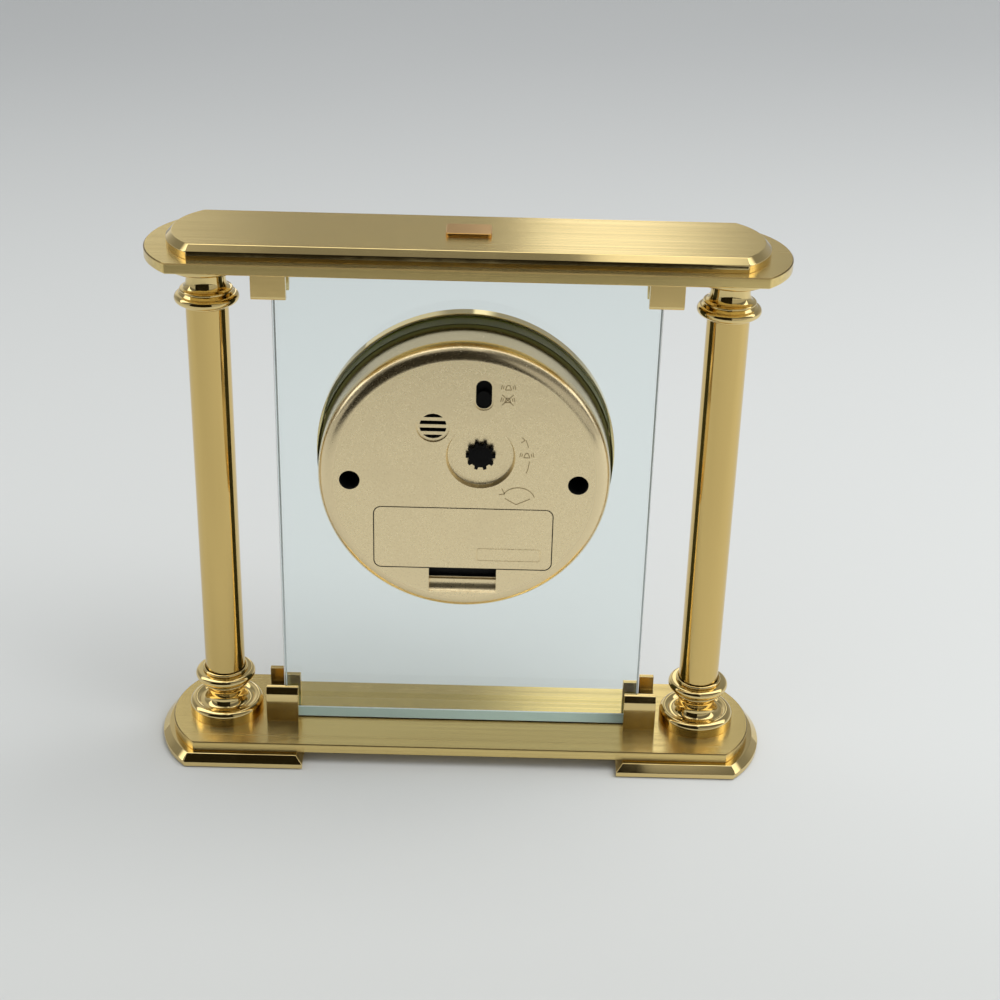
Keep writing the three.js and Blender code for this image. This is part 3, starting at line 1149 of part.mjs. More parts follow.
function buildBattery() {
  const half = CELL_LENGTH / 2;
  const rim = 0.8;
  const cell = turned([
    [0, -half], [CELL_R - rim, -half], [CELL_R, -half + rim], [CELL_R, half - CELL_NUB - rim],
    [CELL_R - rim, half - CELL_NUB], [CELL_NUB_R, half - CELL_NUB], [CELL_NUB_R, half], [0, half],
  ], 14);
  place(head, 'battery', cell.rotateY(Math.PI / 2).translate(0, CELL_Y, CELL_Z), CELL_WRAP);

  const contact = box(
    [CONTACT_WALL_X - SEAT - CONTACT_THICK, CELL_Y - CONTACT_WIDTH / 2, CELL_Z - CONTACT_WIDTH / 2],
    [CONTACT_WALL_X - SEAT, CELL_Y + CONTACT_WIDTH / 2, CELL_Z + CONTACT_WIDTH / 2]);
  place(head, 'contact_plate', contact, STEEL);

  const foot = LEAF_WALL_X + SEAT + CONTACT_THICK / 2;
  const crest = -half - SEAT - CONTACT_THICK / 2;
  const halfHeight = CONTACT_WIDTH / 2;
  const leaf = [
    [foot, CELL_Z - halfHeight], [foot, CELL_Z], [foot, CELL_Z + halfHeight - 0.6],
    [foot + 0.3, CELL_Z + halfHeight], [foot + 0.9, CELL_Z + halfHeight],
  ];
  for (let i = 0; i <= 6; i += 1) {
    const turn = (Math.PI * i) / 6;
    leaf.push([
      THREE.MathUtils.lerp(foot + 1.0, crest, Math.sin(turn) ** 0.8),
      CELL_Z + halfHeight - 0.6 - (i * (CONTACT_WIDTH - 2)) / 6,
    ]);
  }
  const spring = strip(leaf, CONTACT_THICK, -CONTACT_WIDTH / 2, CONTACT_WIDTH / 2);
  place(head, 'contact_leaf', spring.rotateX(Math.PI / 2).translate(0, CELL_Y, 0), STEEL);

  const lidInner = DRUM_REAR + DOOR_THICK;
  const lid = prism(
    roundedRectangle(0, DOOR_Y, DOOR_WIDTH, DOOR_HEIGHT, DOOR_CORNER), DRUM_REAR, lidInner, 4);
  const pads = [-1, 1].map((side) => box(
    [side * DOOR_PAD_X - 1.5, CELL_Y - 4, lidInner - 0.2],
    [side * DOOR_PAD_X + 1.5, CELL_Y + 4, lidInner + DOOR_PAD]));
  const tongueY = DOOR_Y - CELL_R - LEDGE_ROOM + SEAT;
  const tongue = box([-4, tongueY, lidInner - 0.2], [4, tongueY + 1, lidInner + DOOR_TONGUE]);
  place(head, 'battery_door', combine(lid, { add: [...pads, tongue] }), COVER_GOLD);
}

// Hands: a hub over the pipe, a tapered blade and a short tail, turned to the time shown

function hand({ bore, reach, tail, width, tip, level, at }) {
  const [low, high] = [level - HAND_THICK / 2, level + HAND_THICK / 2];
  const blade = new THREE.Shape([
    new THREE.Vector2(-width / 2, -tail), new THREE.Vector2(width / 2, -tail),
    new THREE.Vector2(width / 2, 0), new THREE.Vector2(tip / 2, reach), new THREE.Vector2(-tip / 2, reach),
    new THREE.Vector2(-width / 2, 0),
  ]);
  const hub = rodAlongZ(bore + HUB_WALL, low, high, 20);
  const hole = rodAlongZ(bore, low - 1, high + 1, 16);
  return combine(hub, { add: [prism(blade, low, high)], cut: [hole] }).rotateZ(-at);
}

function buildHands() {
  const turn = 2 * Math.PI;
  const minutes = SHOWN.minutes + SHOWN.seconds / 60;
  const hours = SHOWN.hours + minutes / 60;
  place(head, 'alarm_hand', hand({
    bore: ALARM_PIPE_R + SEAT, reach: ALARM_HAND, tail: 0, width: 1.3, tip: 0.4,
    level: ALARM_HAND_LEVEL, at: (turn * SHOWN.alarmHours) / 12 }), HAND_BRASS);
  place(head, 'hour_hand', hand({
    bore: HOUR_PIPE_R + SEAT, reach: HOUR_HAND, tail: 5, width: 2.4, tip: 1.0,
    level: HOUR_HAND_LEVEL, at: (turn * hours) / 12 }), HAND_BLACK);
  place(head, 'minute_hand', hand({
    bore: MINUTE_PIPE_R + SEAT, reach: MINUTE_HAND, tail: 6, width: 1.9, tip: 0.7,
    level: MINUTE_HAND_LEVEL, at: (turn * minutes) / 60 }), HAND_BLACK);
  place(head, 'second_hand', hand({
    bore: SECOND_ARBOR_R + SEAT, reach: SECOND_HAND, tail: 9, width: 0.7, tip: 0.35,
    level: SECOND_HAND_LEVEL, at: (turn * SHOWN.seconds) / 60 }), HAND_BLACK);
}

buildFeet();
buildPlates();
buildColumns();
buildGlass();
buildClips();
buildBezel();
buildMotionWork();
buildGoingTrain();
buildMotor();
buildMovementPlates();
buildRearCover();
buildControls();
buildBattery();
buildHands();

export default clock;
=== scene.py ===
import logging
import math
from dataclasses import dataclass
from enum import Enum
from typing import Callable, Iterable, Sequence

import bmesh
import bpy
from mathutils import Matrix, Vector


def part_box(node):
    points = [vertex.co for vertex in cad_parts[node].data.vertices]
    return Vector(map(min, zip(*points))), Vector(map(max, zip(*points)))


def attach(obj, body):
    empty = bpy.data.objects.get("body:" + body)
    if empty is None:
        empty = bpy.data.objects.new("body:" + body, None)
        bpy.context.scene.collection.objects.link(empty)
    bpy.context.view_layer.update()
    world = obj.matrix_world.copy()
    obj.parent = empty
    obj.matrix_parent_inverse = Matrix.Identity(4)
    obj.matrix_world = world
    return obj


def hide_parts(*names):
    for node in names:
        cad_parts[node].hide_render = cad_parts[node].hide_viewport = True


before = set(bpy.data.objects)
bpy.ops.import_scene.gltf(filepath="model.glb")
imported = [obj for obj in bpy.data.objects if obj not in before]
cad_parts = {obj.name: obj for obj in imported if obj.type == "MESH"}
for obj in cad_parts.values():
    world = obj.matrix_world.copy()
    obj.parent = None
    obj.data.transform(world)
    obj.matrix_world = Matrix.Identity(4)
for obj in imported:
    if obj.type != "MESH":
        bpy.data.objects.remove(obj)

MM = 0.001
MERGE_DISTANCE = 2e-6
QUARTER_TURN = 0.25

# Heights in millimetres that several sub-assemblies share
PLATE_TOP = 7.3
BEAM_BOTTOM = 166.3
HEAD_HEIGHT = 102.0

log = logging.getLogger("desk_clock")

Piece = bpy.types.Object
Colour = tuple[float, float, float]
Profile = Sequence[tuple[float, float]]
FaceTest = Callable[[Vector, Vector], bool]


class Axis(Enum):
    """The two axes that turned pieces of the clock stand on."""

    UPRIGHT = (0.0, 0.0, 1.0)
    HEAD = (0.0, 1.0, 0.0)


class Side(Enum):
    """Left and right as seen from the dial side of the clock."""

    LEFT = -1
    RIGHT = 1

    @property
    def word(self) -> str:
        """The side's word in the names of nodes."""
        return self.name.lower()


# Drawing and shaping


def millimetres(x: float, y: float, z: float) -> Vector:
    """Gives a point in metres from its place across, back and up in millimetres."""
    return Vector((x, y, z)) * MM


def arc(centre: tuple[float, float], radius: float | tuple[float, float], start: float, end: float,
        steps: int) -> list[tuple[float, float]]:
    """Gives points along an arc in a plane.

    Args:
        centre: The arc's centre.
        radius: Its radius, or the two radii of a flattened one.
        start: First angle in degrees.
        end: Last angle in degrees.
        steps: Number of straight steps.

    Returns:
        The points, both ends included.
    """
    across, along = radius if isinstance(radius, tuple) else (radius, radius)
    points = []
    for i in range(steps + 1):
        angle = math.radians(start + (end - start) * i / steps)
        points.append((centre[0] + across * math.cos(angle), centre[1] + along * math.sin(angle)))
    return points


def rounded_box(width: float, height: float, corner: float, steps: int = 8) -> list[tuple[float, float]]:
    """Gives the outline of a rectangle with round corners about the origin.

    Args:
        width: Full width.
        height: Full height.
        corner: Corner radius.
        steps: Steps in each corner.

    Returns:
        The outline, anticlockwise.
    """
    points = []
    for turn_start, sx, sy in ((0, 1, 1), (90, -1, 1), (180, -1, -1), (270, 1, -1)):
        centre = (sx * (width / 2 - corner), sy * (height / 2 - corner))
        points += arc(centre, corner, turn_start, turn_start + 90, steps)
    return points


def leave_selection() -> None:
    """Goes to object mode with nothing selected."""
    if bpy.context.object and bpy.context.object.mode != "OBJECT":
        bpy.ops.object.mode_set(mode="OBJECT")
    bpy.ops.object.select_all(action="DESELECT")


def choose(piece: Piece) -> None:
    """Makes one piece the only selected and the active object.

    Args:
        piece: The piece to work on.
    """
    leave_selection()
    piece.select_set(True)
    bpy.context.view_layer.objects.active = piece


def draw_line(name: str, points: Sequence[Vector]) -> Piece:
    """Draws a chain of edges by extruding one vertex from point to point.

    Args:
        name: Name of the new piece.
        points: The chain's points, in metres.

    Returns:
        The piece, in edit mode with its last vertex selected.
    """
    leave_selection()
    bpy.ops.mesh.primitive_plane_add(size=MM)
    piece = bpy.context.object
    piece.name = name
    piece.data.name = name
    bpy.ops.object.mode_set(mode="EDIT")
    bpy.ops.mesh.select_mode(type="VERT")
    bpy.ops.mesh.select_all(action="SELECT")
    bpy.ops.mesh.merge(type="CENTER")
    bpy.ops.transform.translate(value=points[0])
    for before, after in zip(points, points[1:]):
        bpy.ops.mesh.extrude_vertices_move(TRANSFORM_OT_translate={"value": after - before})
    return piece


def close_up() -> None:
    """Merges doubles in the mesh under edit and turns its faces outwards."""
    bpy.ops.mesh.select_all(action="SELECT")
    bpy.ops.mesh.remove_doubles(threshold=MERGE_DISTANCE)
    bpy.ops.mesh.normals_make_consistent(inside=False)


def turn(name: str, profile: Profile, steps: int, axis: Axis, centre: Vector) -> Piece:
    """Turns a profile into a round piece with the spin tool.

    Args:
        name: Name of the new piece.
        profile: Pairs of radius and place along the axis, in millimetres.
        steps: Number of steps round.
        axis: The axis that it stands on.
        centre: A point on that axis, in metres.

    Returns:
        The closed piece, in object mode.
    """
    along = Vector(axis.value)
    start = centre - along * centre.dot(along)
    points = [start + Vector((radius * MM, 0, 0)) + along * place * MM for radius, place in profile]
    piece = draw_line(name, points)
    bpy.ops.mesh.select_all(action="SELECT")
    bpy.ops.mesh.spin(steps=steps, angle=math.tau, center=start, axis=axis.value)
    close_up()
    bpy.ops.object.mode_set(mode="OBJECT")
    return piece


def pull(name: str, outline: Sequence[Vector], reach: Vector) -> Piece:
    """Fills a closed outline and extrudes it into a solid.

    Args:
        name: Name of the new piece.
        outline: The outline's points, in metres.
        reach: How far and which way it is extruded, in metres.

    Returns:
        The solid, in object mode.
    """
    piece = draw_line(name, [*outline, outline[0]])
    bpy.ops.mesh.select_all(action="SELECT")
    bpy.ops.mesh.remove_doubles(threshold=MERGE_DISTANCE)
    bpy.ops.mesh.edge_face_add()
    bpy.ops.mesh.extrude_region_move(TRANSFORM_OT_translate={"value": reach})
    close_up()
    bpy.ops.object.mode_set(mode="OBJECT")
    return piece


def pick_faces(piece: Piece, wanted: FaceTest) -> None:
    """Selects the faces of the mesh under edit that answer a test.

    Args:
        piece: The piece under edit.
        wanted: Test on a face's centre and normal.
    """
    bpy.ops.mesh.select_mode(type="FACE")
    bpy.ops.mesh.select_all(action="DESELECT")
    mesh = bmesh.from_edit_mesh(piece.data)
    for face in mesh.faces:
        face.select_set(wanted(face.calc_center_median(), face.normal))
    bmesh.update_edit_mesh(piece.data)


def mould_edge(piece: Piece, wanted: FaceTest, section: Profile) -> None:
    """Steps a face inwards and along its normal, which leaves a moulding with mitred corners.

    Args:
        piece: The piece, in object mode.
        wanted: Test that picks the face to start from.
        section: Inset and rise of each step from the start, in millimetres.
    """
    choose(piece)
    bpy.ops.object.mode_set(mode="EDIT")
    pick_faces(piece, wanted)
    inset_before, rise_before = 0.0, 0.0
    for inset, rise in section:
        bpy.ops.mesh.inset(thickness=(inset - inset_before) * MM, depth=(rise - rise_before) * MM,
                           use_even_offset=True)
        inset_before, rise_before = inset, rise
    bpy.ops.object.mode_set(mode="OBJECT")


def apply_modifier(piece: Piece, kind: str, **settings: object) -> None:
    """Adds one modifier to a piece and applies it.

    Args:
        piece: The piece.
        kind: The modifier's type.
        **settings: Its properties.
    """
    choose(piece)
    modifier = piece.modifiers.new(kind.lower(), kind)
    for key, value in settings.items():
        setattr(modifier, key, value)
    bpy.ops.object.modifier_apply(modifier=modifier.name)


def combine(piece: Piece, tools: Iterable[Piece], operation: str = "DIFFERENCE") -> None:
    """Cuts tools out of a piece, or joins them to it, and removes the tools.

    Args:
        piece: The piece that stays.
        tools: The pieces that are used up.
        operation: DIFFERENCE, UNION or INTERSECT.
    """
    for tool in tools:
        leave_selection()
        apply_modifier(piece, "BOOLEAN", object=tool, operation=operation, solver="EXACT",
                       material_mode="TRANSFER")
        mesh = tool.data
        bpy.data.objects.remove(tool)
        bpy.data.meshes.remove(mesh)


def break_edges(piece: Piece, width: float, segments: int = 2, angle: float = 30.0) -> None:
    """Rounds the edges sharper than an angle in degrees by a width in millimetres."""
    apply_modifier(piece, "BEVEL", width=width * MM, segments=segments, limit_method="ANGLE",
                   angle_limit=math.radians(angle), use_clamp_overlap=True)


def weigh_normals(piece: Piece) -> None:
    """Keeps large faces flat beside their rounded edges."""
    apply_modifier(piece, "WEIGHTED_NORMAL", mode="FACE_AREA", weight=50, keep_sharp=True)


def smooth(piece: Piece, angle: float = 30.0) -> None:
    """Shades a piece smooth up to an angle, with flat faces kept flat.

    Args:
        piece: The piece.
        angle: Largest angle that is shaded smooth, in degrees.
    """
    choose(piece)
    bpy.ops.object.shade_smooth_by_angle(angle=math.radians(angle))
    weigh_normals(piece)


def coat(material: bpy.types.Material, *pieces: Piece) -> None:
    """Gives pieces their first material."""
    for piece in pieces:
        piece.data.materials.append(material)


def paint_faces(piece: Piece, material: bpy.types.Material, wanted: FaceTest) -> None:
    """Gives a second material to the faces that answer a test.

    Args:
        piece: The piece, in object mode.
        material: The material.
        wanted: Test on a face's centre and normal.
    """
    if material.name not in piece.data.materials:
        piece.data.materials.append(material)
    index = piece.data.materials.find(material.name)
    for face in piece.data.polygons:
        if wanted(face.center, face.normal):
            face.material_index = index


def join(pieces: Sequence[Piece]) -> Piece:
    """Joins pieces into the first one.

    Args:
        pieces: The pieces; all but the first are used up.

    Returns:
        The first piece.
    """
    choose(pieces[0])
    for piece in pieces[1:]:
        piece.select_set(True)
    bpy.ops.object.join()
    return pieces[0]


def twin(piece: Piece, name: str, change: Matrix) -> Piece:
    """Copies a piece with a mesh of its own, moved or mirrored.

    Args:
        piece: The piece to copy.
        name: Name of the copy.
        change: How the copy's mesh is moved.

    Returns:
        The copy.
    """
    copy = piece.copy()
    copy.data = piece.data.copy()
    copy.name = name
    copy.data.name = name
    bpy.context.scene.collection.objects.link(copy)
    copy.data.transform(change)
    if change.determinant() < 0:
        copy.data.flip_normals()
    if copy.data.has_custom_normals:
        choose(copy)
        bpy.ops.mesh.customdata_custom_splitnormals_clear()
        weigh_normals(copy)
    return copy


ACROSS = Matrix.Scale(-1, 4, Vector((1, 0, 0)))


def settle(piece: Piece, body: str, nodes: Sequence[str] = ()) -> Piece:
    """Fixes a finished piece to its body and reports it.

    Args:
        piece: The finished piece.
        body: The body that it moves with.
        nodes: The nodes that it stands for.

    Returns:
        The piece.
    """
    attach(piece, body)
    if nodes:
        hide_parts(*nodes)
    log.info("%s: %d faces, rides on %s", piece.name, len(piece.data.polygons), body)
    return piece


# Node trees


class Graph:
    """A node tree that is being wired up."""

    def __init__(self, tree: bpy.types.NodeTree) -> None:
        """Starts from a tree, whose nodes are kept."""
        self.tree = tree

    def add(self, kind: str, inputs: dict | None = None, **settings: object) -> bpy.types.Node:
        """Adds a node.

        Args:
            kind: The node's type.
            inputs: Values or sockets for its inputs, by name or number.
            **settings: Its properties.

        Returns:
            The node.
        """
        node = self.tree.nodes.new(kind)
        for key, value in settings.items():
            setattr(node, key, value)
        self.feed(node, inputs or {})
        return node

    def feed(self, node: bpy.types.Node, inputs: dict) -> None:
        """Sets or links the inputs of a node.

        Args:
            node: The node.
            inputs: Values or sockets by the input's name or number; a colour has three parts.
        """
        for key, value in inputs.items():
            socket = node.inputs[key]
            if isinstance(value, bpy.types.NodeSocket):
                self.tree.links.new(value, socket)
            elif socket.type == "RGBA":
                socket.default_value = (*value, 1.0)
            else:
                socket.default_value = value

    def maths(self, operation: str, first: object, second: object = 0.0) -> bpy.types.NodeSocket:
        """Adds a Math node on values or sockets and gives its result."""
        return self.add("ShaderNodeMath", {0: first, 1: second}, operation=operation).outputs[0]

    def fit(self, value: object, low: float, high: float, to_low: float, to_high: float,
            shape: str = "LINEAR") -> bpy.types.NodeSocket:
        """Maps a value from one range to another and keeps it inside, evenly or by SMOOTHSTEP."""
        inputs = {"Value": value, "From Min": low, "From Max": high, "To Min": to_low, "To Max": to_high}
        return self.add("ShaderNodeMapRange", inputs, interpolation_type=shape).outputs["Result"]

    def ramp(self, value: object, stops: Sequence[tuple[float, float]]) -> bpy.types.NodeSocket:
        """Maps a value from 0 to 1 along straight steps.

        Args:
            value: The value's socket.
            stops: Pairs of place and result, in order.

        Returns:
            The result's socket.
        """
        node = self.add("ShaderNodeFloatCurve", {1: value})
        curve = node.mapping.curves[0]
        for point, (place, result) in zip((curve.points[0], curve.points[-1]), (stops[0], stops[-1])):
            point.location = (place, result)
        for place, result in stops[1:-1]:
            curve.points.new(place, result)
        for point in curve.points:
            point.handle_type = "VECTOR"
        node.mapping.use_clip = False
        node.mapping.update()
        return node.outputs[0]

    def mix(self, amount: object, first: object, second: object) -> bpy.types.NodeSocket:
        """Mixes two colours or sockets by the share of the second one."""
        return self.add("ShaderNodeMix", {0: amount, 6: first, 7: second}, data_type="RGBA").outputs[2]

    def weigh(self, first: object, first_share: float, second: object,
              second_share: float) -> bpy.types.NodeSocket:
        """Adds two values, each times its share."""
        return self.maths("ADD", self.maths("MULTIPLY", first, first_share),
                          self.maths("MULTIPLY", second, second_share))

    def noise(self, place: object, scale: object, **more: float) -> bpy.types.NodeSocket:
        """Adds a cloudy pattern, with Detail, Roughness or Distortion where given."""
        return self.add("ShaderNodeTexNoise", {"Vector": place, "Scale": scale, **more}).outputs[0]

    def bump(self, height: object, distance: float, strength: float = 1.0) -> bpy.types.NodeSocket:
        """Turns a pattern into relief of a height in millimetres and gives the normal."""
        inputs = {"Height": height, "Strength": strength, "Distance": distance * MM}
        return self.add("ShaderNodeBump", inputs).outputs["Normal"]

    def use(self, group: bpy.types.NodeTree, **inputs: object) -> bpy.types.Node:
        """Places a shared group, whose inputs are given by name with _ for each space."""
        spaced = {key.replace("_", " "): value for key, value in inputs.items()}
        return self.add("ShaderNodeGroup", spaced, node_tree=group)


def new_group(name: str, inputs: dict[str, tuple[str, object]], outputs: dict[str, str]) -> Graph:
    """Starts a node group with named sockets.

    Args:
        name: The group's name.
        inputs: Socket type and default value by name.
        outputs: Socket type by name.

    Returns:
        The group's graph.
    """
    tree = bpy.data.node_groups.new(name, "ShaderNodeTree")
    for socket_name, (kind, value) in inputs.items():
        socket = tree.interface.new_socket(name=socket_name, in_out="INPUT", socket_type=kind)
        if value is not None:
            socket.default_value = value
    for socket_name, kind in outputs.items():
        tree.interface.new_socket(name=socket_name, in_out="OUTPUT", socket_type=kind)
    return Graph(tree)


def build_drawn_lines() -> bpy.types.NodeTree:
    """Builds the group of fine parallel lines that brushing or drawing leaves in metal.

    Returns:
        The group, with masks for the lines and for broad uneven patches.
    """
    graph = new_group(
        "drawn_lines",
        {"Vector": ("NodeSocketVector", None), "Stretch": ("NodeSocketVector", (25.0, 2600.0, 2600.0)),
         "Patch Scale": ("NodeSocketFloat", 14.0)},
        {"Lines": "NodeSocketFloat", "Patches": "NodeSocketFloat"})
    source = graph.add("NodeGroupInput")
    both = {0: source.outputs["Vector"], 1: source.outputs["Stretch"]}
    stretched = graph.add("ShaderNodeVectorMath", both, operation="MULTIPLY").outputs[0]
    coarse = graph.noise(stretched, 0.35, Detail=3.0, Roughness=0.6)
    fine = graph.noise(stretched, 1.3, Detail=4.0, Roughness=0.75)
    patches = graph.noise(source.outputs["Vector"], source.outputs["Patch Scale"], Detail=2.0)
    graph.add("NodeGroupOutput", {
        "Lines": graph.fit(graph.weigh(coarse, 0.45, fine, 0.55), 0.33, 0.67, 0.0, 1.0),
        "Patches": graph.fit(patches, 0.3, 0.7, 0.0, 1.0)})
    return graph.tree


def build_handling() -> bpy.types.NodeTree:
    """Builds the group of faint smudges and dust that a handled object carries.

    Returns:
        The group, with a mask for smudges and one for dust.
    """
    graph = new_group(
        "handling_marks",
        {"Vector": ("NodeSocketVector", None), "Smudge Scale": ("NodeSocketFloat", 45.0),
         "Dust Scale": ("NodeSocketFloat", 900.0)},
        {"Smudge": "NodeSocketFloat", "Dust": "NodeSocketFloat"})
    source = graph.add("NodeGroupInput")
    place = source.outputs["Vector"]
    smear = graph.noise(place, source.outputs["Smudge Scale"], Detail=5.0, Roughness=0.6, Distortion=0.6)
    specks = graph.add("ShaderNodeTexVoronoi", {"Vector": place, "Scale": source.outputs["Dust Scale"]})
    sparse = graph.noise(place, 160.0, Detail=2.0)
    dust = graph.maths("MULTIPLY", graph.fit(specks.outputs["Distance"], 0.12, 0.2, 1.0, 0.0),
                       graph.fit(sparse, 0.6, 0.66, 0.0, 1.0))
    graph.add("NodeGroupOutput", {"Smudge": graph.fit(smear, 0.48, 0.72, 0.0, 1.0), "Dust": dust})
    return graph.tree


def build_speckle() -> bpy.types.NodeTree:
    """Builds the group of fine grain in moulded or painted plastic, felt and rubber.

    Returns:
        The group, with a value for the grain and one for sparse darker flecks.
    """
    graph = new_group(
        "moulded_speckle",
        {"Vector": ("NodeSocketVector", None), "Scale": ("NodeSocketFloat", 1800.0)},
        {"Grain": "NodeSocketFloat", "Flecks": "NodeSocketFloat"})
    source = graph.add("NodeGroupInput")
    place, scale = source.outputs["Vector"], source.outputs["Scale"]
    grain = graph.noise(place, scale, Detail=3.0, Roughness=0.6)
    fleck = graph.add("ShaderNodeTexVoronoi",
                      {"Vector": place, "Scale": graph.maths("MULTIPLY", scale, 0.55)})
    graph.add("NodeGroupOutput", {
        "Grain": graph.fit(grain, 0.3, 0.7, 0.0, 1.0),
        "Flecks": graph.fit(fleck.outputs["Distance"], 0.1, 0.42, 1.0, 0.0)})
    return graph.tree


class Effects:
    """The node groups that several finishes share, each built once."""

    lines: bpy.types.NodeTree
    handling: bpy.types.NodeTree
    speckle: bpy.types.NodeTree

    @classmethod
    def build(cls) -> None:
        """Builds the groups."""
        cls.lines = build_drawn_lines()
        cls.handling = build_handling()
        cls.speckle = build_speckle()


def new_material(name: str) -> tuple[bpy.types.Material, Graph, bpy.types.Node, bpy.types.NodeSocket]:
    """Starts a material.

    Args:
        name: The material's name.

    Returns:
        The material, its graph, its Principled BSDF and the Object coordinates.
    """
    material = bpy.data.materials.new(name)
    material.use_nodes = True
    graph = Graph(material.node_tree)
    shader = next(n for n in material.node_tree.nodes if n.type == "BSDF_PRINCIPLED")
    return material, graph, shader, graph.add("ShaderNodeTexCoord").outputs["Object"]


# Finishes


@dataclass(frozen=True)
class DrawnMetal:
    """Metal with fine parallel lines, from a bright brushing to a nearly clear polish."""

    name: str
    colour: Colour
    shade: Colour
    roughness: float
    line_roughness: float
    stretch: tuple[float, float, float]
    line_tint: float
    line_height: float
    smudge: float = 0.08
    across_lines: float = 0.0
    patch_tint: float = 0.1

    def build(self) -> bpy.types.Material:
        """Builds the material.

        Returns:
            The material.
        """
        material, graph, shader, place = new_material(self.name)
        drawn = graph.use(Effects.lines, Vector=place, Stretch=self.stretch)
        marks = graph.use(Effects.handling, Vector=place)
        lines = drawn.outputs["Lines"]
        tint = graph.weigh(lines, self.line_tint, drawn.outputs["Patches"], self.patch_tint)
        rough = graph.weigh(lines, self.line_roughness, marks.outputs["Smudge"], self.smudge)
        graph.feed(shader, {"Base Color": graph.mix(tint, self.colour, self.shade),
                            "Roughness": graph.maths("ADD", rough, self.roughness),
                            "Normal": graph.bump(lines, self.line_height),
                            "Metallic": 1.0})
        if self.across_lines:
            along = graph.add("ShaderNodeVectorTransform", {0: (1.0, 0.0, 0.0)}, vector_type="VECTOR",
                              convert_from="OBJECT", convert_to="WORLD")
            graph.feed(shader, {"Tangent": along.outputs[0], "Anisotropic": self.across_lines,
                                "Anisotropic Rotation": QUARTER_TURN})
        return material


@dataclass(frozen=True)
class Moulded:
    """Plastic, paint, rubber, felt or card with a fine grain."""

    name: str
    colour: Colour
    fleck: Colour
    roughness: float
    metallic: float = 0.0
    grain: float = 1800.0
    grain_height: float = 0.01
    tint: float = 0.35
    sheen: float = 0.0
    specular: float = 0.5
    grain_roughness: float = 0.12
    smudge: float = 0.05

    def build(self) -> bpy.types.Material:
        """Builds the material.

        Returns:
            The material.
        """
        material, graph, shader, place = new_material(self.name)
        speckle = graph.use(Effects.speckle, Vector=place, Scale=self.grain)
        marks = graph.use(Effects.handling, Vector=place)
        grain = speckle.outputs["Grain"]
        amount = graph.maths("MULTIPLY", speckle.outputs["Flecks"], self.tint)
        rough = graph.weigh(grain, self.grain_roughness, marks.outputs["Smudge"], self.smudge)
        least = self.roughness - self.grain_roughness / 2
        graph.feed(shader, {"Base Color": graph.mix(amount, self.colour, self.fleck),
                            "Roughness": graph.maths("ADD", rough, least),
                            "Normal": graph.bump(grain, self.grain_height),
                            "Metallic": self.metallic,
                            "Sheen Weight": self.sheen,
                            "Specular IOR Level": self.specular})
        return material


@dataclass(frozen=True)
class ClearGlass:
    """Float glass or crystal that lets light through to what it shades."""

    name: str
    colour: Colour
    shadow: Colour
    roughness: float = 0.0
    haze: float = 0.01
    dust: Colour = (0.8, 0.82, 0.8)
    dustiness: float = 0.25
    refraction: float = 1.5

    def build(self) -> bpy.types.Material:
        """Builds the material.

        Returns:
            The material.
        """
        material, graph, shader, place = new_material(self.name)
        marks = graph.use(Effects.handling, Vector=place, Smudge_Scale=30.0)
        dust = graph.maths("MULTIPLY", marks.outputs["Dust"], self.dustiness)
        haze = graph.maths("MULTIPLY", marks.outputs["Smudge"], self.haze)
        graph.feed(shader, {"Base Color": graph.mix(dust, self.colour, self.dust),
                            "Roughness": graph.maths("ADD", haze, self.roughness),
                            "Transmission Weight": 1.0,
                            "IOR": self.refraction})
        clear = graph.add("ShaderNodeBsdfTransparent", {"Color": self.shadow})
        rays = graph.add("ShaderNodeLightPath")
        both = graph.add("ShaderNodeMixShader", {0: rays.outputs["Is Shadow Ray"],
                                                 1: shader.outputs[0], 2: clear.outputs[0]})
        output = next(n for n in graph.tree.nodes if n.type == "OUTPUT_MATERIAL")
        graph.feed(output, {"Surface": both.outputs[0]})
        return material


@dataclass(frozen=True)
class PaneEdge:
    """A polished edge of thick glass: a mirror or a haze from within, dark green from outside."""

    name: str
    within: Colour
    outside: Colour
    shine: float = 0.0
    fleck: Colour = (0.3, 0.34, 0.3)
    roughness: float = 0.5
    gloss: float = 0.38

    def build(self) -> bpy.types.Material:
        """Builds the material.

        Returns:
            The material.
        """
        material, graph, shader, place = new_material(self.name)
        speckle = graph.use(Effects.speckle, Vector=place, Scale=1200.0)
        inner = graph.add("ShaderNodeNewGeometry").outputs["Backfacing"]
        colour = graph.mix(inner, self.outside, self.within)
        amount = graph.maths("MULTIPLY", speckle.outputs["Flecks"], 0.08)
        gloss = graph.maths("MULTIPLY", inner, self.shine * self.gloss)
        graph.feed(shader, {"Base Color": graph.mix(amount, colour, self.fleck),
                            "Metallic": graph.maths("MULTIPLY", inner, self.shine),
                            "Roughness": graph.maths("SUBTRACT", self.roughness, gloss)})
        return material


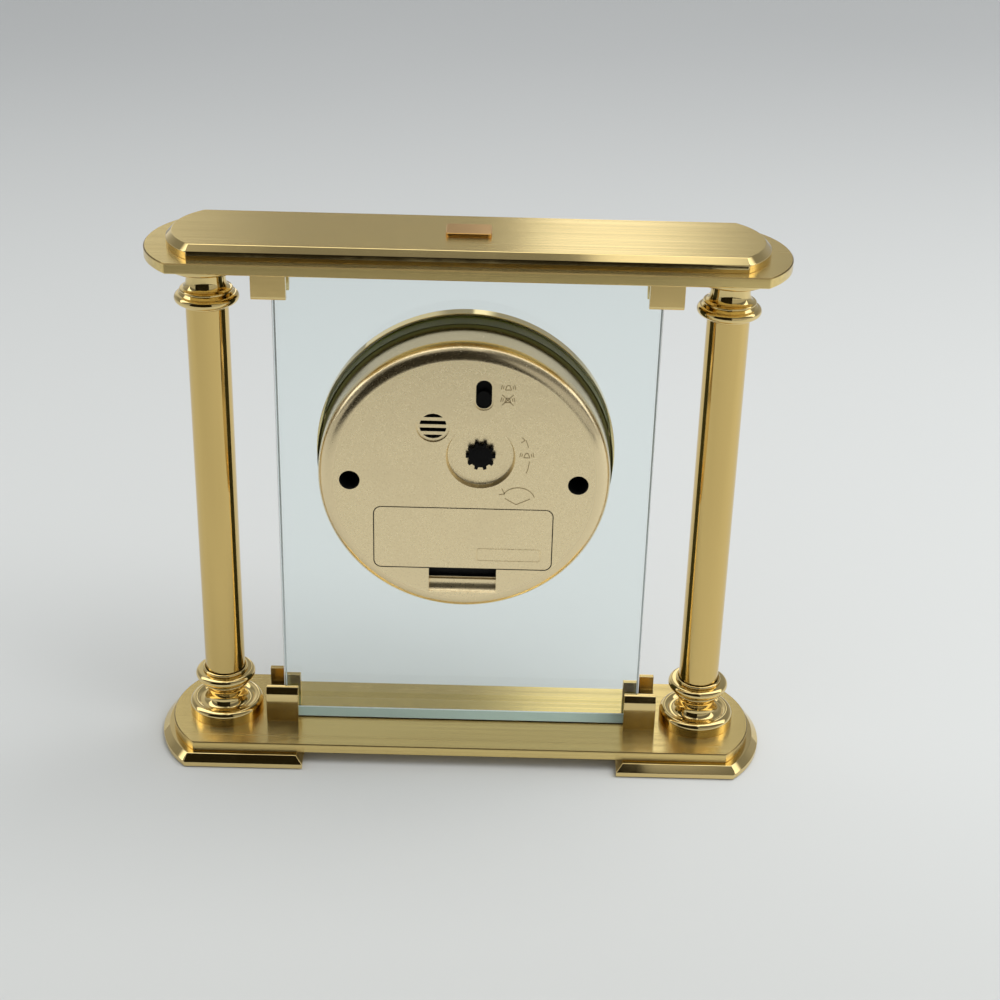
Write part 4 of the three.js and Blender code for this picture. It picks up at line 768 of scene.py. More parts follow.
@dataclass(frozen=True)
class WoundWire:
    """Lacquered copper wire wound in close turns across an axis."""

    name: str = "coil_wire"
    colour: Colour = (0.62, 0.2, 0.08)
    # Darker colour between the turns: painted shade in the grooves between round wires.
    painted_gap_shade: Colour = (0.12, 0.03, 0.015)
    turns_per_metre: float = 2400.0
    relief: float = 0.05

    def build(self) -> bpy.types.Material:
        """Builds the material.

        Returns:
            The material.
        """
        material, graph, shader, place = new_material(self.name)
        wave = graph.add("ShaderNodeTexWave", {"Vector": place, "Scale": self.turns_per_metre / 20,
                                               "Distortion": 0.4, "Detail": 1.0},
                         wave_type="BANDS", bands_direction="Z")
        colour = graph.mix(graph.fit(wave.outputs["Fac"], 0.0, 0.35, 1.0, 0.0), self.colour,
                           self.painted_gap_shade)
        graph.feed(shader, {"Base Color": colour, "Normal": graph.bump(wave.outputs["Fac"], self.relief),
                            "Metallic": 0.8, "Roughness": 0.3})
        return material


@dataclass(frozen=True)
class CircuitBoard:
    """Green board with copper tracks under the lacquer."""

    name: str = "board_green"
    lacquer: Colour = (0.03, 0.16, 0.06)
    track: Colour = (0.09, 0.3, 0.1)
    relief: float = 0.03

    def build(self) -> bpy.types.Material:
        """Builds the material.

        Returns:
            The material.
        """
        material, graph, shader, place = new_material(self.name)
        cells = graph.add("ShaderNodeTexVoronoi", {"Vector": place, "Scale": 420.0}, feature="F1",
                          distance="CHEBYCHEV")
        mask = graph.fit(cells.outputs["Distance"], 0.3, 0.34, 1.0, 0.0)
        colour = graph.mix(mask, self.lacquer, self.track)
        graph.feed(shader, {"Base Color": colour, "Normal": graph.bump(mask, self.relief, 0.5),
                            "Roughness": 0.35})
        return material


@dataclass(frozen=True)
class CellSleeve:
    """Wordless sleeve of a round cell: dark along most of its length, coppery at one end."""

    name: str = "cell_sleeve"
    dark: Colour = (0.02, 0.02, 0.022)
    bright: Colour = (0.72, 0.42, 0.2)
    metal: Colour = (0.6, 0.6, 0.58)
    border: float = 10.0
    end: float = 24.6

    def build(self) -> bpy.types.Material:
        """Builds the material.

        Returns:
            The material.
        """
        material, graph, shader, place = new_material(self.name)
        across = graph.add("ShaderNodeSeparateXYZ", {0: place}).outputs["X"]
        mask = graph.fit(across, self.border * MM, (self.border + 0.3) * MM, 0.0, 1.0)
        ends = graph.fit(graph.maths("ABSOLUTE", across), self.end * MM, (self.end + 0.3) * MM, 0.0, 1.0)
        sleeve = graph.mix(mask, self.dark, self.bright)
        speckle = graph.use(Effects.speckle, Vector=place, Scale=700.0)
        graph.feed(shader, {"Base Color": graph.mix(ends, sleeve, self.metal),
                            "Roughness": graph.fit(speckle.outputs["Grain"], 0.0, 1.0, 0.25, 0.4),
                            "Metallic": graph.maths("MAXIMUM", mask, ends)})
        return material


BRASS_SHADE: Colour = (0.52, 0.37, 0.14)


class Finishes:
    """Every material of the clock, built once."""

    def __init__(self) -> None:
        """Builds the shared effects and the materials."""
        Effects.build()
        self.brushed = DrawnMetal(
            "brass_brushed", (0.92, 0.72, 0.3), BRASS_SHADE, roughness=0.18, line_roughness=0.1,
            stretch=(9.0, 2500.0, 2500.0), line_tint=0.55, line_height=0.005, smudge=0.02,
            across_lines=0.95).build()
        # Darker brass on the broken edges of the flat plates: a painted dark reflection line between top
        # and side.
        self.edge = DrawnMetal(
            "brass_edge_painted_dark", (0.34, 0.24, 0.09), (0.2, 0.14, 0.05), roughness=0.3, line_roughness=0.05,
            stretch=(25.0, 1700.0, 1700.0), line_tint=0.3, line_height=0.002).build()
        self.polished = DrawnMetal(
            "brass_polished", (0.81, 0.63, 0.29), BRASS_SHADE, roughness=0.05, line_roughness=0.03,
            stretch=(400.0, 400.0, 400.0), line_tint=0.08, line_height=0.0006, smudge=0.05).build()
        self.tube = DrawnMetal(
            "brass_tube", (0.73, 0.53, 0.2), BRASS_SHADE, roughness=0.06, line_roughness=0.03,
            stretch=(2600.0, 2600.0, 20.0), line_tint=0.1, line_height=0.0006, smudge=0.04).build()
        self.satin = DrawnMetal(
            "brass_satin", (0.78, 0.58, 0.24), BRASS_SHADE, roughness=0.17, line_roughness=0.04,
            stretch=(25.0, 1800.0, 1800.0), line_tint=0.1, line_height=0.001).build()
        self.plaque = DrawnMetal(
            "plaque_copper", (0.78, 0.45, 0.14), (0.5, 0.28, 0.08), roughness=0.16, line_roughness=0.08,
            stretch=(60.0, 2600.0, 2600.0), line_tint=0.25, line_height=0.006).build()
        self.works_brass = DrawnMetal(
            "works_brass", (0.78, 0.58, 0.24), BRASS_SHADE, roughness=0.25, line_roughness=0.08,
            stretch=(900.0, 900.0, 900.0), line_tint=0.2, line_height=0.004).build()
        self.steel = DrawnMetal(
            "steel_bright", (0.56, 0.56, 0.55), (0.3, 0.3, 0.3), roughness=0.22, line_roughness=0.1,
            stretch=(1200.0, 1200.0, 1200.0), line_tint=0.25, line_height=0.003).build()
        # Near-black steel for the rotor, and for the cover screws deep in their wells, where it is painted
        # shade.
        self.dark_steel_and_well_shade = DrawnMetal(
            "steel_blackened", (0.05, 0.045, 0.04), (0.02, 0.02, 0.02), roughness=0.4,
            line_roughness=0.1, stretch=(1200.0, 1200.0, 1200.0), line_tint=0.3,
            line_height=0.004).build()
        self.hand_brass = DrawnMetal(
            "hand_gilt", (0.85, 0.63, 0.25), BRASS_SHADE, roughness=0.15, line_roughness=0.05,
            stretch=(900.0, 900.0, 900.0), line_tint=0.1, line_height=0.002).build()
        self.cover = Moulded(
            "cover_gold", (0.92, 0.765, 0.475), (0.7, 0.55, 0.32), roughness=0.3, metallic=1.0,
            grain=2300.0, grain_height=0.008, tint=0.35).build()
        self.cover_rim = Moulded(
            "cover_gold_rim", (0.86, 0.71, 0.44), (0.8, 0.64, 0.38), roughness=0.22, metallic=1.0,
            grain=2300.0, grain_height=0.001, tint=0.2).build()
        # Darker brown for the raised signs and the door panel's grooved outline: painted shade that makes
        # the low relief show.
        self.marks = Moulded(
            "moulded_marks_painted_shade", (0.42, 0.31, 0.16), (0.35, 0.26, 0.13), roughness=0.36, metallic=1.0,
            grain=2300.0, grain_height=0.01, tint=0.3).build()
        self.black = Moulded(
            "black_plastic", (0.003, 0.0028, 0.0025), (0.006, 0.006, 0.006), roughness=0.5,
            specular=0.1).build()
        # Near-black for openings, wells and the cover's inside: painted shade of deep hollows in the gold
        # moulding
        self.inside = Moulded(
            "dark_inside_painted_shade", (0.006, 0.006, 0.006), (0.012, 0.011, 0.01), roughness=0.75).build()
        self.works = Moulded(
            "works_plastic", (0.72, 0.71, 0.66), (0.62, 0.61, 0.56), roughness=0.45).build()
        self.dial = Moulded(
            "dial_cream", (0.84, 0.80, 0.68), (0.78, 0.73, 0.6), roughness=0.5, grain=900.0,
            grain_height=0.004, tint=0.25).build()
        self.print = Moulded(
            "dial_black", (0.012, 0.011, 0.01), (0.03, 0.03, 0.03), roughness=0.35).build()
        # Dark olive for the band in the pane's hole: partly its own colour, partly painted shade of the
        # gap it sits in.
        self.rubber = Moulded(
            "rubber_olive_and_shade", (0.17, 0.165, 0.035), (0.12, 0.115, 0.02), roughness=0.55, grain=900.0,
            grain_height=0.02).build()
        self.felt = Moulded(
            "felt_green", (0.02, 0.07, 0.04), (0.01, 0.035, 0.02), roughness=0.95, grain=1500.0,
            grain_height=0.12, tint=0.6, sheen=0.4).build()
        self.glass = ClearGlass("pane_glass", (0.915, 0.975, 0.975), (0.86, 0.93, 0.92)).build()
        self.pane_side = PaneEdge(
            "pane_side", (0.84, 0.87, 0.9), (0.045, 0.05, 0.015), shine=1.0).build()
        self.pane_foot = PaneEdge("pane_foot", (0.42, 0.5, 0.42), (0.05, 0.06, 0.03)).build()
        # The hole's wall: the glass edge's own dark green, darkened further as painted shade of the hole.
        self.hole_edge_green_and_shade = PaneEdge("hole_edge_green_and_shade", (0.17, 0.175, 0.01), (0.1, 0.1, 0.02)).build()
        self.pane_arris = Moulded(
            "pane_arris", (0.92, 0.95, 0.96), (0.8, 0.85, 0.86), roughness=0.45, grain=1500.0,
            grain_height=0.004, tint=0.3).build()
        self.lens = ClearGlass("lens_clear", (0.985, 0.99, 0.985), (0.95, 0.96, 0.95)).build()
        self.wire = WoundWire().build()
        self.board = CircuitBoard().build()
        self.cell = CellSleeve().build()


def dress(node: str, material: bpy.types.Material) -> None:
    """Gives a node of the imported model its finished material.

    Args:
        node: The node's name.
        material: The material.
    """
    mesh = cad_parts[node].data
    if not mesh.materials:
        mesh.materials.append(material)
    for index in range(len(mesh.materials)):
        mesh.materials[index] = material
    log.info("%s: keeps its shape, takes %s", node, material.name)


# The brass frame


@dataclass(frozen=True)
class EndPlate:
    """A flat bar with arc ends: its half depth, the arcs' radius and their centres."""

    half_depth: float
    end_radius: float
    end_centre: float
    steps: int = 36

    def right_end(self) -> list[tuple[float, float]]:
        """Draws the arc of the right end, from front to rear."""
        half_angle = math.degrees(math.asin(self.half_depth / self.end_radius))
        return arc((self.end_centre, 0), self.end_radius, -half_angle, half_angle, self.steps)

    def outline(self, height: float) -> list[Vector]:
        """Draws the whole bar.

        Args:
            height: Height of the outline in millimetres.

        Returns:
            The outline's points in metres.
        """
        right = self.right_end()
        left = [(-x, -y) for x, y in right]
        return [millimetres(x, y, height) for x, y in (*right, *left)]

    def end_outline(self, inner: float, height: float) -> list[Vector]:
        """Draws one end of the bar in metres, cut square at a place in millimetres."""
        points = [(inner, -self.half_depth), *self.right_end(), (inner, self.half_depth)]
        return [millimetres(x, y, height) for x, y in points]


# The base plate and the lower plate of the beam are cut alike
WIDE_PLATE = EndPlate(half_depth=20.8, end_radius=28.6, end_centre=66.2)


def model_flat_plate(name: str, outline: Sequence[Vector], thick: float, chamfer: float,
                     finishes: Finishes) -> Piece:
    """Models a flat brushed plate with its edges just broken and painted dark as a reflection line.

    Args:
        name: Name of the piece.
        outline: Outline of its underside, in metres.
        thick: Its thickness in millimetres.
        chamfer: Width of the broken edge in millimetres.
        finishes: The clock's materials.

    Returns:
        The plate.
    """
    plate = pull(name, outline, millimetres(0, 0, thick))
    break_edges(plate, chamfer, 1, 40)
    smooth(plate)
    coat(finishes.brushed, plate)
    # The broken edges take the darker brass: a painted dark reflection line.
    paint_faces(plate, finishes.edge, lambda centre, normal: 0.1 < normal.z < 0.98)
    return plate


def model_stepped_plate(name: str, outline: Sequence[Vector], lip: float, slope: tuple[float, float],
                        rounding: float, finishes: Finishes) -> Piece:
    """Models a polished plate with a mitred slope above a lip.

    Args:
        name: Name of the piece.
        outline: Outline of its underside, in metres.
        lip: Height of the upright edge in millimetres.
        slope: Inset and rise of the slope in millimetres.
        rounding: Width of the rounded edges in millimetres.
        finishes: The clock's materials.

    Returns:
        The plate.
    """
    plate = pull(name, outline, millimetres(0, 0, lip))
    mould_edge(plate, lambda centre, normal: normal.z > 0.9, [slope])
    break_edges(plate, rounding, 3, 35)
    smooth(plate, 32)
    coat(finishes.polished, plate)
    return plate


@dataclass
class Base:
    """The base plate on its two moulded feet."""

    plate: EndPlate = WIDE_PLATE
    foot: EndPlate = EndPlate(half_depth=24.5, end_radius=34.5, end_centre=64.0)
    foot_inner: float = 50.5
    foot_bottom: float = 0.4
    foot_height: float = 3.7
    foot_lip: float = 1.55
    foot_inset: float = 2.15
    foot_rounding: float = 0.14
    plate_thick: float = 3.2
    plate_chamfer: float = 0.28

    def build(self, finishes: Finishes) -> None:
        """Builds and dresses the base.

        Args:
            finishes: The clock's materials.
        """
        right = model_stepped_plate(
            "foot_right_moulded", self.foot.end_outline(self.foot_inner, self.foot_bottom), self.foot_lip,
            (self.foot_inset, self.foot_height - self.foot_lip), self.foot_rounding, finishes)
        left = twin(right, "foot_left_moulded", ACROSS)
        settle(right, "frame", ["foot_right"])
        settle(left, "frame", ["foot_left"])
        plate = model_flat_plate("base_plate_brushed",
                                 self.plate.outline(self.foot_bottom + self.foot_height),
                                 self.plate_thick, self.plate_chamfer, finishes)
        settle(plate, "frame", ["base_plate"])
        for side in Side:
            dress(f"foot_pad_{side.word}", finishes.felt)
            dress(f"tie_rod_{side.word}", finishes.steel)
            dress(f"clip_screw_bottom_{side.word}", finishes.steel)


@dataclass
class Beam:
    """The beam: lower plate, moulded upper plate and a bare plaque."""

    lower: EndPlate = WIDE_PLATE
    upper: EndPlate = EndPlate(half_depth=17.3, end_radius=22.1, end_centre=66.2)
    bottom: float = BEAM_BOTTOM
    lower_thick: float = 3.2
    lower_chamfer: float = 0.32
    upper_height: float = 4.2
    upper_lip: float = 2.4
    upper_inset: float = 1.8
    upper_rounding: float = 0.2
    plaque_width: float = 13.4
    plaque_depth: float = 9.0
    plaque_thick: float = 1.3
    plaque_corner: float = 1.2
    plaque_rounding: float = 0.3

    def build(self, finishes: Finishes) -> None:
        """Builds and dresses the beam.

        Args:
            finishes: The clock's materials.
        """
        lower = model_flat_plate("beam_lower_brushed", self.lower.outline(self.bottom),
                                 self.lower_thick, self.lower_chamfer, finishes)
        settle(lower, "frame", ["beam_lower_plate"])

        low = self.bottom + self.lower_thick
        top = low + self.upper_height
        upper = model_stepped_plate("beam_upper_moulded", self.upper.outline(low), self.upper_lip,
                                    (self.upper_inset, self.upper_height - self.upper_lip),
                                    self.upper_rounding, finishes)
        paint_faces(upper, finishes.brushed,
                    lambda centre, normal: normal.z > 0.985 and centre.z > (top - 0.05) * MM)
        settle(upper, "frame", ["beam_upper_plate"])

        outline = rounded_box(self.plaque_width, self.plaque_depth, self.plaque_corner)
        plaque = pull("plaque_bare", [millimetres(x, y, top) for x, y in outline],
                      millimetres(0, 0, self.plaque_thick))
        break_edges(plaque, self.plaque_rounding, 3, 40)
        smooth(plaque)
        coat(finishes.plaque, plaque)
        settle(plaque, "frame", ["top_plaque"])
        for side in Side:
            dress(f"clip_screw_top_{side.word}", finishes.steel)


@dataclass
class Columns:
    """The two columns: turned bases and capitals with a drawn tube between them."""

    centre_x: float = 77.5
    low: float = PLATE_TOP
    high: float = BEAM_BOTTOM
    shaft_radius: float = 6.4
    shaft_wall: float = 0.8
    plinth_radius: float = 12.0
    plinth_height: float = 3.0
    shoulder: float = 1.8
    bell_foot: tuple[float, float] = (8.1, 3.9)
    neck_radius: float = 5.9
    neck_low: float = 7.0
    neck_high: float = 8.2
    fillet_radius: float = 7.95
    fillet_section: float = 0.5
    fillet_height: float = 11.6
    ring_radius: float = 9.65
    ring_section: float = 1.45
    ring_height: float = 14.15
    bead_radius: float = 7.3
    bead_section: float = 0.5
    socket_depth: float = 1.9
    steps: int = 72

    @property
    def collar_top(self) -> float:
        """Height of the top of the bead above the plate."""
        return self.ring_height + self.ring_section + 2 * self.bead_section

    def end_profile(self) -> list[tuple[float, float]]:
        """Draws the turned end from the plate upwards.

        Returns:
            Pairs of radius and height above the plate, closed at the axis.
        """
        fillet_centre = self.fillet_radius - self.fillet_section
        fillet_low = self.fillet_height - self.fillet_section
        ring_centre = self.ring_radius - self.ring_section
        bead_centre = self.bead_radius - self.bead_section
        bead_height = self.ring_height + self.ring_section + self.bead_section
        foot_r, foot_h = self.bell_foot
        return [
            (0.0, 0.0), (self.plinth_radius - 0.15, 0.0), (self.plinth_radius, 0.15),
            *arc((self.plinth_radius - self.shoulder, self.plinth_height), self.shoulder, 0, 150, 12),
            *arc((foot_r, self.neck_low), (foot_r - self.neck_radius, self.neck_low - foot_h),
                 270, 180, 10),
            *arc((fillet_centre, self.neck_high),
                 (fillet_centre - self.neck_radius, fillet_low - self.neck_high), 180, 105, 8),
            *arc((fillet_centre, self.fillet_height), self.fillet_section, -90, 60, 6),
            *arc((ring_centre, self.ring_height), self.ring_section, -85, 80, 16),
            *arc((bead_centre, bead_height), self.bead_section, -70, 90, 8),
            (self.shaft_radius + 0.3, self.collar_top),
            (self.shaft_radius + 0.3, self.collar_top - self.socket_depth),
            (0.0, self.collar_top - self.socket_depth),
        ]

    def build(self, finishes: Finishes) -> None:
        """Builds and dresses both columns.

        Args:
            finishes: The clock's materials.
        """
        centre = millimetres(self.centre_x, 0, 0)
        profile = self.end_profile()
        base = turn("column_base_right_turned", [(r, self.low + h) for r, h in profile], self.steps,
                    Axis.UPRIGHT, centre)
        capital = turn("column_capital_right_turned", [(r, self.high - h) for r, h in profile], self.steps,
                       Axis.UPRIGHT, centre)
        reach = self.collar_top - self.socket_depth + 0.3
        inner = self.shaft_radius - self.shaft_wall
        low, high = self.low + reach, self.high - reach
        rings = [low + (high - low) * i / 6 for i in range(7)]
        tube = [*((self.shaft_radius, z) for z in rings), (inner, high), (inner, low),
                (self.shaft_radius, low)]
        shaft = turn("column_shaft_right_drawn", tube, self.steps, Axis.UPRIGHT, centre)
        for piece, node, material in ((base, "column_base", finishes.polished),
                                      (capital, "column_capital", finishes.polished),
                                      (shaft, "column_shaft", finishes.tube)):
            smooth(piece, 28)
            coat(material, piece)
            left = twin(piece, piece.name.replace("right", "left"), ACROSS)
            settle(piece, "frame", [f"{node}_right"])
            settle(left, "frame", [f"{node}_left"])


@dataclass
class PaneAndClips:
    """The glass pane with its round hole, and the four slotted clips that hold it."""

    half_width: float = 57.8
    face: float = 4.75
    bottom: float = 7.6
    top: float = 166.0
    hole_radius: float = 45.0
    hole_height: float = HEAD_HEIGHT
    arris: float = 0.28
    clip_inner: float = 53.2
    clip_outer: float = 63.5
    slot_end: float = 59.0
    jaw_inner: float = 5.05
    jaw_thick: float = 2.5
    jaw_height: float = 12.4
    face_height: float = 7.0
    edge_radius: float = 1.2
    web_height: float = 7.7
    clip_rounding: float = 0.12
    low: float = PLATE_TOP
    high: float = BEAM_BOTTOM

    def build(self, finishes: Finishes) -> None:
        """Builds and dresses the pane and the clips.

        Args:
            finishes: The clock's materials.
        """
        pane = self.model_pane(finishes)
        paint_faces(pane, finishes.pane_foot, lambda centre, normal: abs(normal.y) < 0.9)
        paint_faces(pane, finishes.pane_side,
                    lambda centre, normal: abs(normal.y) < 0.4 and abs(normal.x) > 0.9)
        paint_faces(pane, finishes.pane_arris, lambda centre, normal: 0.4 < abs(normal.y) < 0.9)
        hub = millimetres(0, 0, self.hole_height)
        reach = (self.hole_radius + 0.4) * MM
        paint_faces(pane, finishes.hole_edge_green_and_shade,
                    lambda centre, normal: abs(normal.y) < 0.9
                    and math.hypot(centre.x - hub.x, centre.z - hub.z) < reach)
        settle(pane, "frame", ["glass_panel"])

        clip = self.model_clip(finishes)
        paint_faces(clip, finishes.polished, lambda centre, normal: 0.06 < abs(normal.z) < 0.999)
        upside_down = Matrix.Translation(millimetres(0, 0, self.low + self.high)) @ Matrix.Rotation(
            math.pi, 4, "X")
        for level, change in (("bottom", Matrix.Identity(4)), ("top", upside_down)):
            for side in Side:
                place = change if side is Side.RIGHT else ACROSS @ change
                name = f"clip_{level}_{side.word}_milled"
                copy = clip if name == clip.name else twin(clip, name, place)
                settle(copy, "frame", [f"glass_clip_{level}_{side.word}"])

    def model_pane(self, finishes: Finishes) -> Piece:
        """Models the pane with its hole and ground arrises.

        Args:
            finishes: The clock's materials.

        Returns:
            The pane.
        """
        corners = [(-self.half_width, self.bottom), (self.half_width, self.bottom),
                   (self.half_width, self.top), (-self.half_width, self.top)]
        pane = pull("pane_polished", [millimetres(x, -self.face, z) for x, z in corners],
                    millimetres(0, 2 * self.face, 0))
        hole = arc((0, self.hole_height), self.hole_radius, 0, 357.5, 143)
        drill = pull("hole_drill", [millimetres(x, -self.face - 2, z) for x, z in hole],
                     millimetres(0, 2 * self.face + 4, 0))
        coat(finishes.glass, pane, drill)
        combine(pane, [drill])
        break_edges(pane, self.arris, 1, 60)
        smooth(pane, 20)
        return pane

    def section(self) -> list[tuple[float, float]]:
        """Draws the clip's section across the pane.

        Returns:
            Pairs of depth and height above the plate, anticlockwise.
        """
        outer = self.jaw_inner + self.jaw_thick
        edge = self.edge_radius
        return [
            (-outer, 0.0), (outer, 0.0),
            *arc((self.jaw_inner, self.face_height), (self.jaw_thick, self.jaw_height - self.face_height),
                 0, 90, 14),
            (self.jaw_inner, self.web_height), (-self.jaw_inner, self.web_height),
            (-self.jaw_inner, self.jaw_height),
            *arc((edge - outer, self.jaw_height - edge), edge, 90, 180, 8),
        ]

    def model_clip(self, finishes: Finishes) -> Piece:
        """Models the lower right clip and slots it for the pane.

        Args:
            finishes: The clock's materials.

        Returns:
            The clip.
        """
        outline = [millimetres(self.clip_inner, y, self.low + z) for y, z in self.section()]
        clip = pull("clip_bottom_right_milled", outline,
                    millimetres(self.clip_outer - self.clip_inner, 0, 0))
        slot = [(self.clip_inner - 2, -self.jaw_inner), (self.slot_end, -self.jaw_inner),
                (self.slot_end, self.jaw_inner), (self.clip_inner - 2, self.jaw_inner)]
        cutter = pull("slot_cutter", [millimetres(x, y, self.low - 1) for x, y in slot],
                      millimetres(0, 0, self.jaw_height + 3))
        coat(finishes.satin, clip, cutter)
        combine(clip, [cutter])
        break_edges(clip, self.clip_rounding, 2, 35)
        smooth(clip, 25)
        return clip


# The clock head


@dataclass
class HeadHalf:
    """What both halves of the head share: the axis and the pieces turned on it."""

    height: float = HEAD_HEIGHT
    steps: int = 120

    @property
    def centre(self) -> Vector:
        """A point on the head's axis, in metres."""
        return millimetres(0, 0, self.height)

    def turn_on_axis(self, name: str, ring: Profile, angle: float) -> Piece:
        """Turns a closed ring on the head's axis and shades it.

        Args:
            name: Name of the piece.
            ring: Pairs of radius and depth in millimetres.
            angle: Largest angle that is shaded smooth, in degrees.

        Returns:
            The piece.
        """
        piece = turn(name, ring, self.steps, Axis.HEAD, self.centre)
        smooth(piece, angle)
        return piece


@dataclass
class DialSide(HeadHalf):
    """Bezel, lens and sight ring round a printed dial."""

    outer: float = 46.0
    lip: float = 41.0
    skirt_outer: float = 44.6
    skirt_inner: float = 43.0
    skirt_rear: float = -2.2
    flange: float = -5.05
    front: float = -10.4
    rim: float = 3.6
    lens_radius: float = 42.7
    lens_rear: float = -6.5
    lens_front: float = -7.8
    lens_dome: float = 1.0
    sight_inner: float = 40.0
    ring_front: float = -6.2
    dial_radius: float = 42.0
    dial_front: float = -1.8
    print_lift: float = 0.01
    print_thick: float = 0.05
    numeral_radius: float = 30.5
    numeral_size: float = 7.6
    numeral_width: float = 0.62
    numeral_gap: float = 0.82
    sight_rear: float = -2.3
    track_inner: float = 35.3
    track_outer: float = 38.2
    track_line: float = 0.2
    minute_half: float = 0.12
    hour_half: float = 0.45

    def build(self, finishes: Finishes) -> None:
        """Builds and dresses the front of the head.

        Args:
            finishes: The clock's materials.
        """
        for name, ring, angle, material, slot, node in (
                ("bezel_turned", self.bezel_profile(), 35, finishes.polished, "polished_brass", "bezel"),
                ("lens_domed", self.lens_profile(), 20, finishes.lens, "lens", "lens"),
                ("sight_ring_turned", self.sight_profile(), 30, finishes.satin, "polished_brass",
                 "sight_ring")):
            piece = self.turn_on_axis(name, ring, angle)
            coat(material, piece)
            settle(piece, "frame", [node])

        dress("dial", finishes.dial)
        track = self.model_track()
        coat(finishes.print, track)
        settle(track, "frame")
        numerals = self.model_numerals()
        numerals.data.materials.clear()
        coat(finishes.print, numerals)
        settle(numerals, "frame")

        for node in ("hour_hand", "minute_hand"):
            dress(node, finishes.print)
        for node in ("second_hand", "alarm_hand"):
            dress(node, finishes.hand_brass)

    def bezel_profile(self) -> list[tuple[float, float]]:
        """Draws the bezel's section.

        Returns:
            Pairs of radius and depth, closed.
        """
        crown = (self.outer + self.lip) / 2
        rise = self.flange - self.rim - self.front
        rebate = self.lens_front - 0.3
        ring = [
            (self.skirt_inner, self.skirt_rear), (self.skirt_outer - 0.3, self.skirt_rear),
            (self.skirt_outer, self.skirt_rear - 0.3), (self.skirt_outer, self.flange),
            (self.outer - 0.15, self.flange), (self.outer, self.flange - 0.15),
            *arc((crown, self.flange - self.rim), (self.outer - crown, -rise), 0, 90, 14),
            *arc((self.lip + 0.9, self.front + 0.6), (0.9, -0.6), 90, 180, 6),
            (self.lip, rebate), (self.skirt_inner, rebate),
        ]
        return [*ring, ring[0]]

    def lens_profile(self) -> list[tuple[float, float]]:
        """Draws the lens's section.

        Returns:
            Pairs of radius and depth, closed at the axis.
        """
        dome = [(self.lip * (1 - i / 10), self.lens_front - self.lens_dome * (1 - (1 - i / 10) ** 2))
                for i in range(11)]
        return [(0.0, self.lens_rear), (self.lens_radius, self.lens_rear),
                (self.lens_radius, self.lens_front), *dome]

    def sight_profile(self) -> list[tuple[float, float]]:
        """Draws the sloping ring between dial and lens.

        Returns:
            Pairs of radius and depth, closed.
        """
        rear = self.dial_front - 0.3
        slope = [(self.lip, self.ring_front)]
        for i in range(1, 9):
            share = i / 8
            slope.append((self.lip + (self.sight_inner - self.lip) * share ** 0.5,
                          self.ring_front + (rear - 0.5 - self.ring_front) * share))
        ring = [*slope, (self.sight_inner, rear), (self.dial_radius + 0.1, rear),
                (self.dial_radius + 0.1, self.sight_rear),
                (self.lens_radius, self.sight_rear), (self.lens_radius, self.ring_front)]
        return [*ring, ring[0]]

    def model_track(self) -> Piece:
        """Models the minute track: sixty strokes between two thin circles.

        Returns:
            The track.
        """
        rear = self.dial_front - self.print_lift
        front = rear - self.print_thick
        parts = []
        for inner in (self.track_inner, self.track_outer - self.track_line):
            outer = inner + self.track_line
            ring = [(inner, rear), (outer, rear), (outer, front), (inner, front), (inner, rear)]
            parts.append(turn(f"track_ring_{inner:.0f}", ring, self.steps, Axis.HEAD, self.centre))
        overlap = self.track_line * 0.75
        low, high = self.track_inner + overlap, self.track_outer - overlap
        for kind, half, every in (("minute", self.minute_half, 1), ("hour", self.hour_half, 5)):
            outline = [(-half, low), (half, low), (half, high), (-half, high)]
            stroke = pull(f"stroke_{kind}", [millimetres(x, rear, self.height + z) for x, z in outline],
                          millimetres(0, -self.print_thick, 0))
            for minute in range(60):
                if (minute % 5 == 0) == (every == 5):
                    parts.append(twin(stroke, f"stroke_{minute}", self.turned(math.tau * minute / 60)))
            bpy.data.objects.remove(stroke)
        return join(parts)

    def turned(self, angle: float) -> Matrix:
        """Gives a turn about the head's axis in radians, clockwise from the dial side."""
        hub = Matrix.Translation(self.centre)
        return hub @ Matrix.Rotation(angle, 4, "Y") @ hub.inverted()

    def model_numerals(self) -> Piece:
        """Sets the twelve hours round the dial in plain letters.

        Returns:
            The numerals as one mesh.
        """
        numerals = []
        for hour, word in enumerate("XII I II III IIII V VI VII VIII IX X XI".split()):
            leave_selection()
            bpy.ops.object.text_add(location=(0, 0, 0))
            text = bpy.context.object
            text.data.body = word
            text.data.align_x = "CENTER"
            text.data.align_y = "CENTER"
            text.data.size = self.numeral_size * MM
            text.data.extrude = self.print_thick * MM / 2
            text.data.resolution_u = 3
            text.data.space_character = self.numeral_gap
            bpy.ops.object.convert(target="MESH")
            piece = bpy.context.object
            narrow = Matrix.Diagonal((self.numeral_width, 1.0, 1.0, 1.0))
            upright = Matrix.Rotation(math.radians(90), 4, "X")
            lift = Matrix.Translation(millimetres(
                0, self.dial_front - self.print_lift - self.print_thick / 2,
                self.height + self.numeral_radius))
            piece.data.transform(self.turned(math.tau * hour / 12) @ lift @ upright @ narrow)
            numerals.append(piece)
        numerals[0].name = "dial_numerals"
        numerals[0].data.name = "dial_numerals"
        return join(numerals)


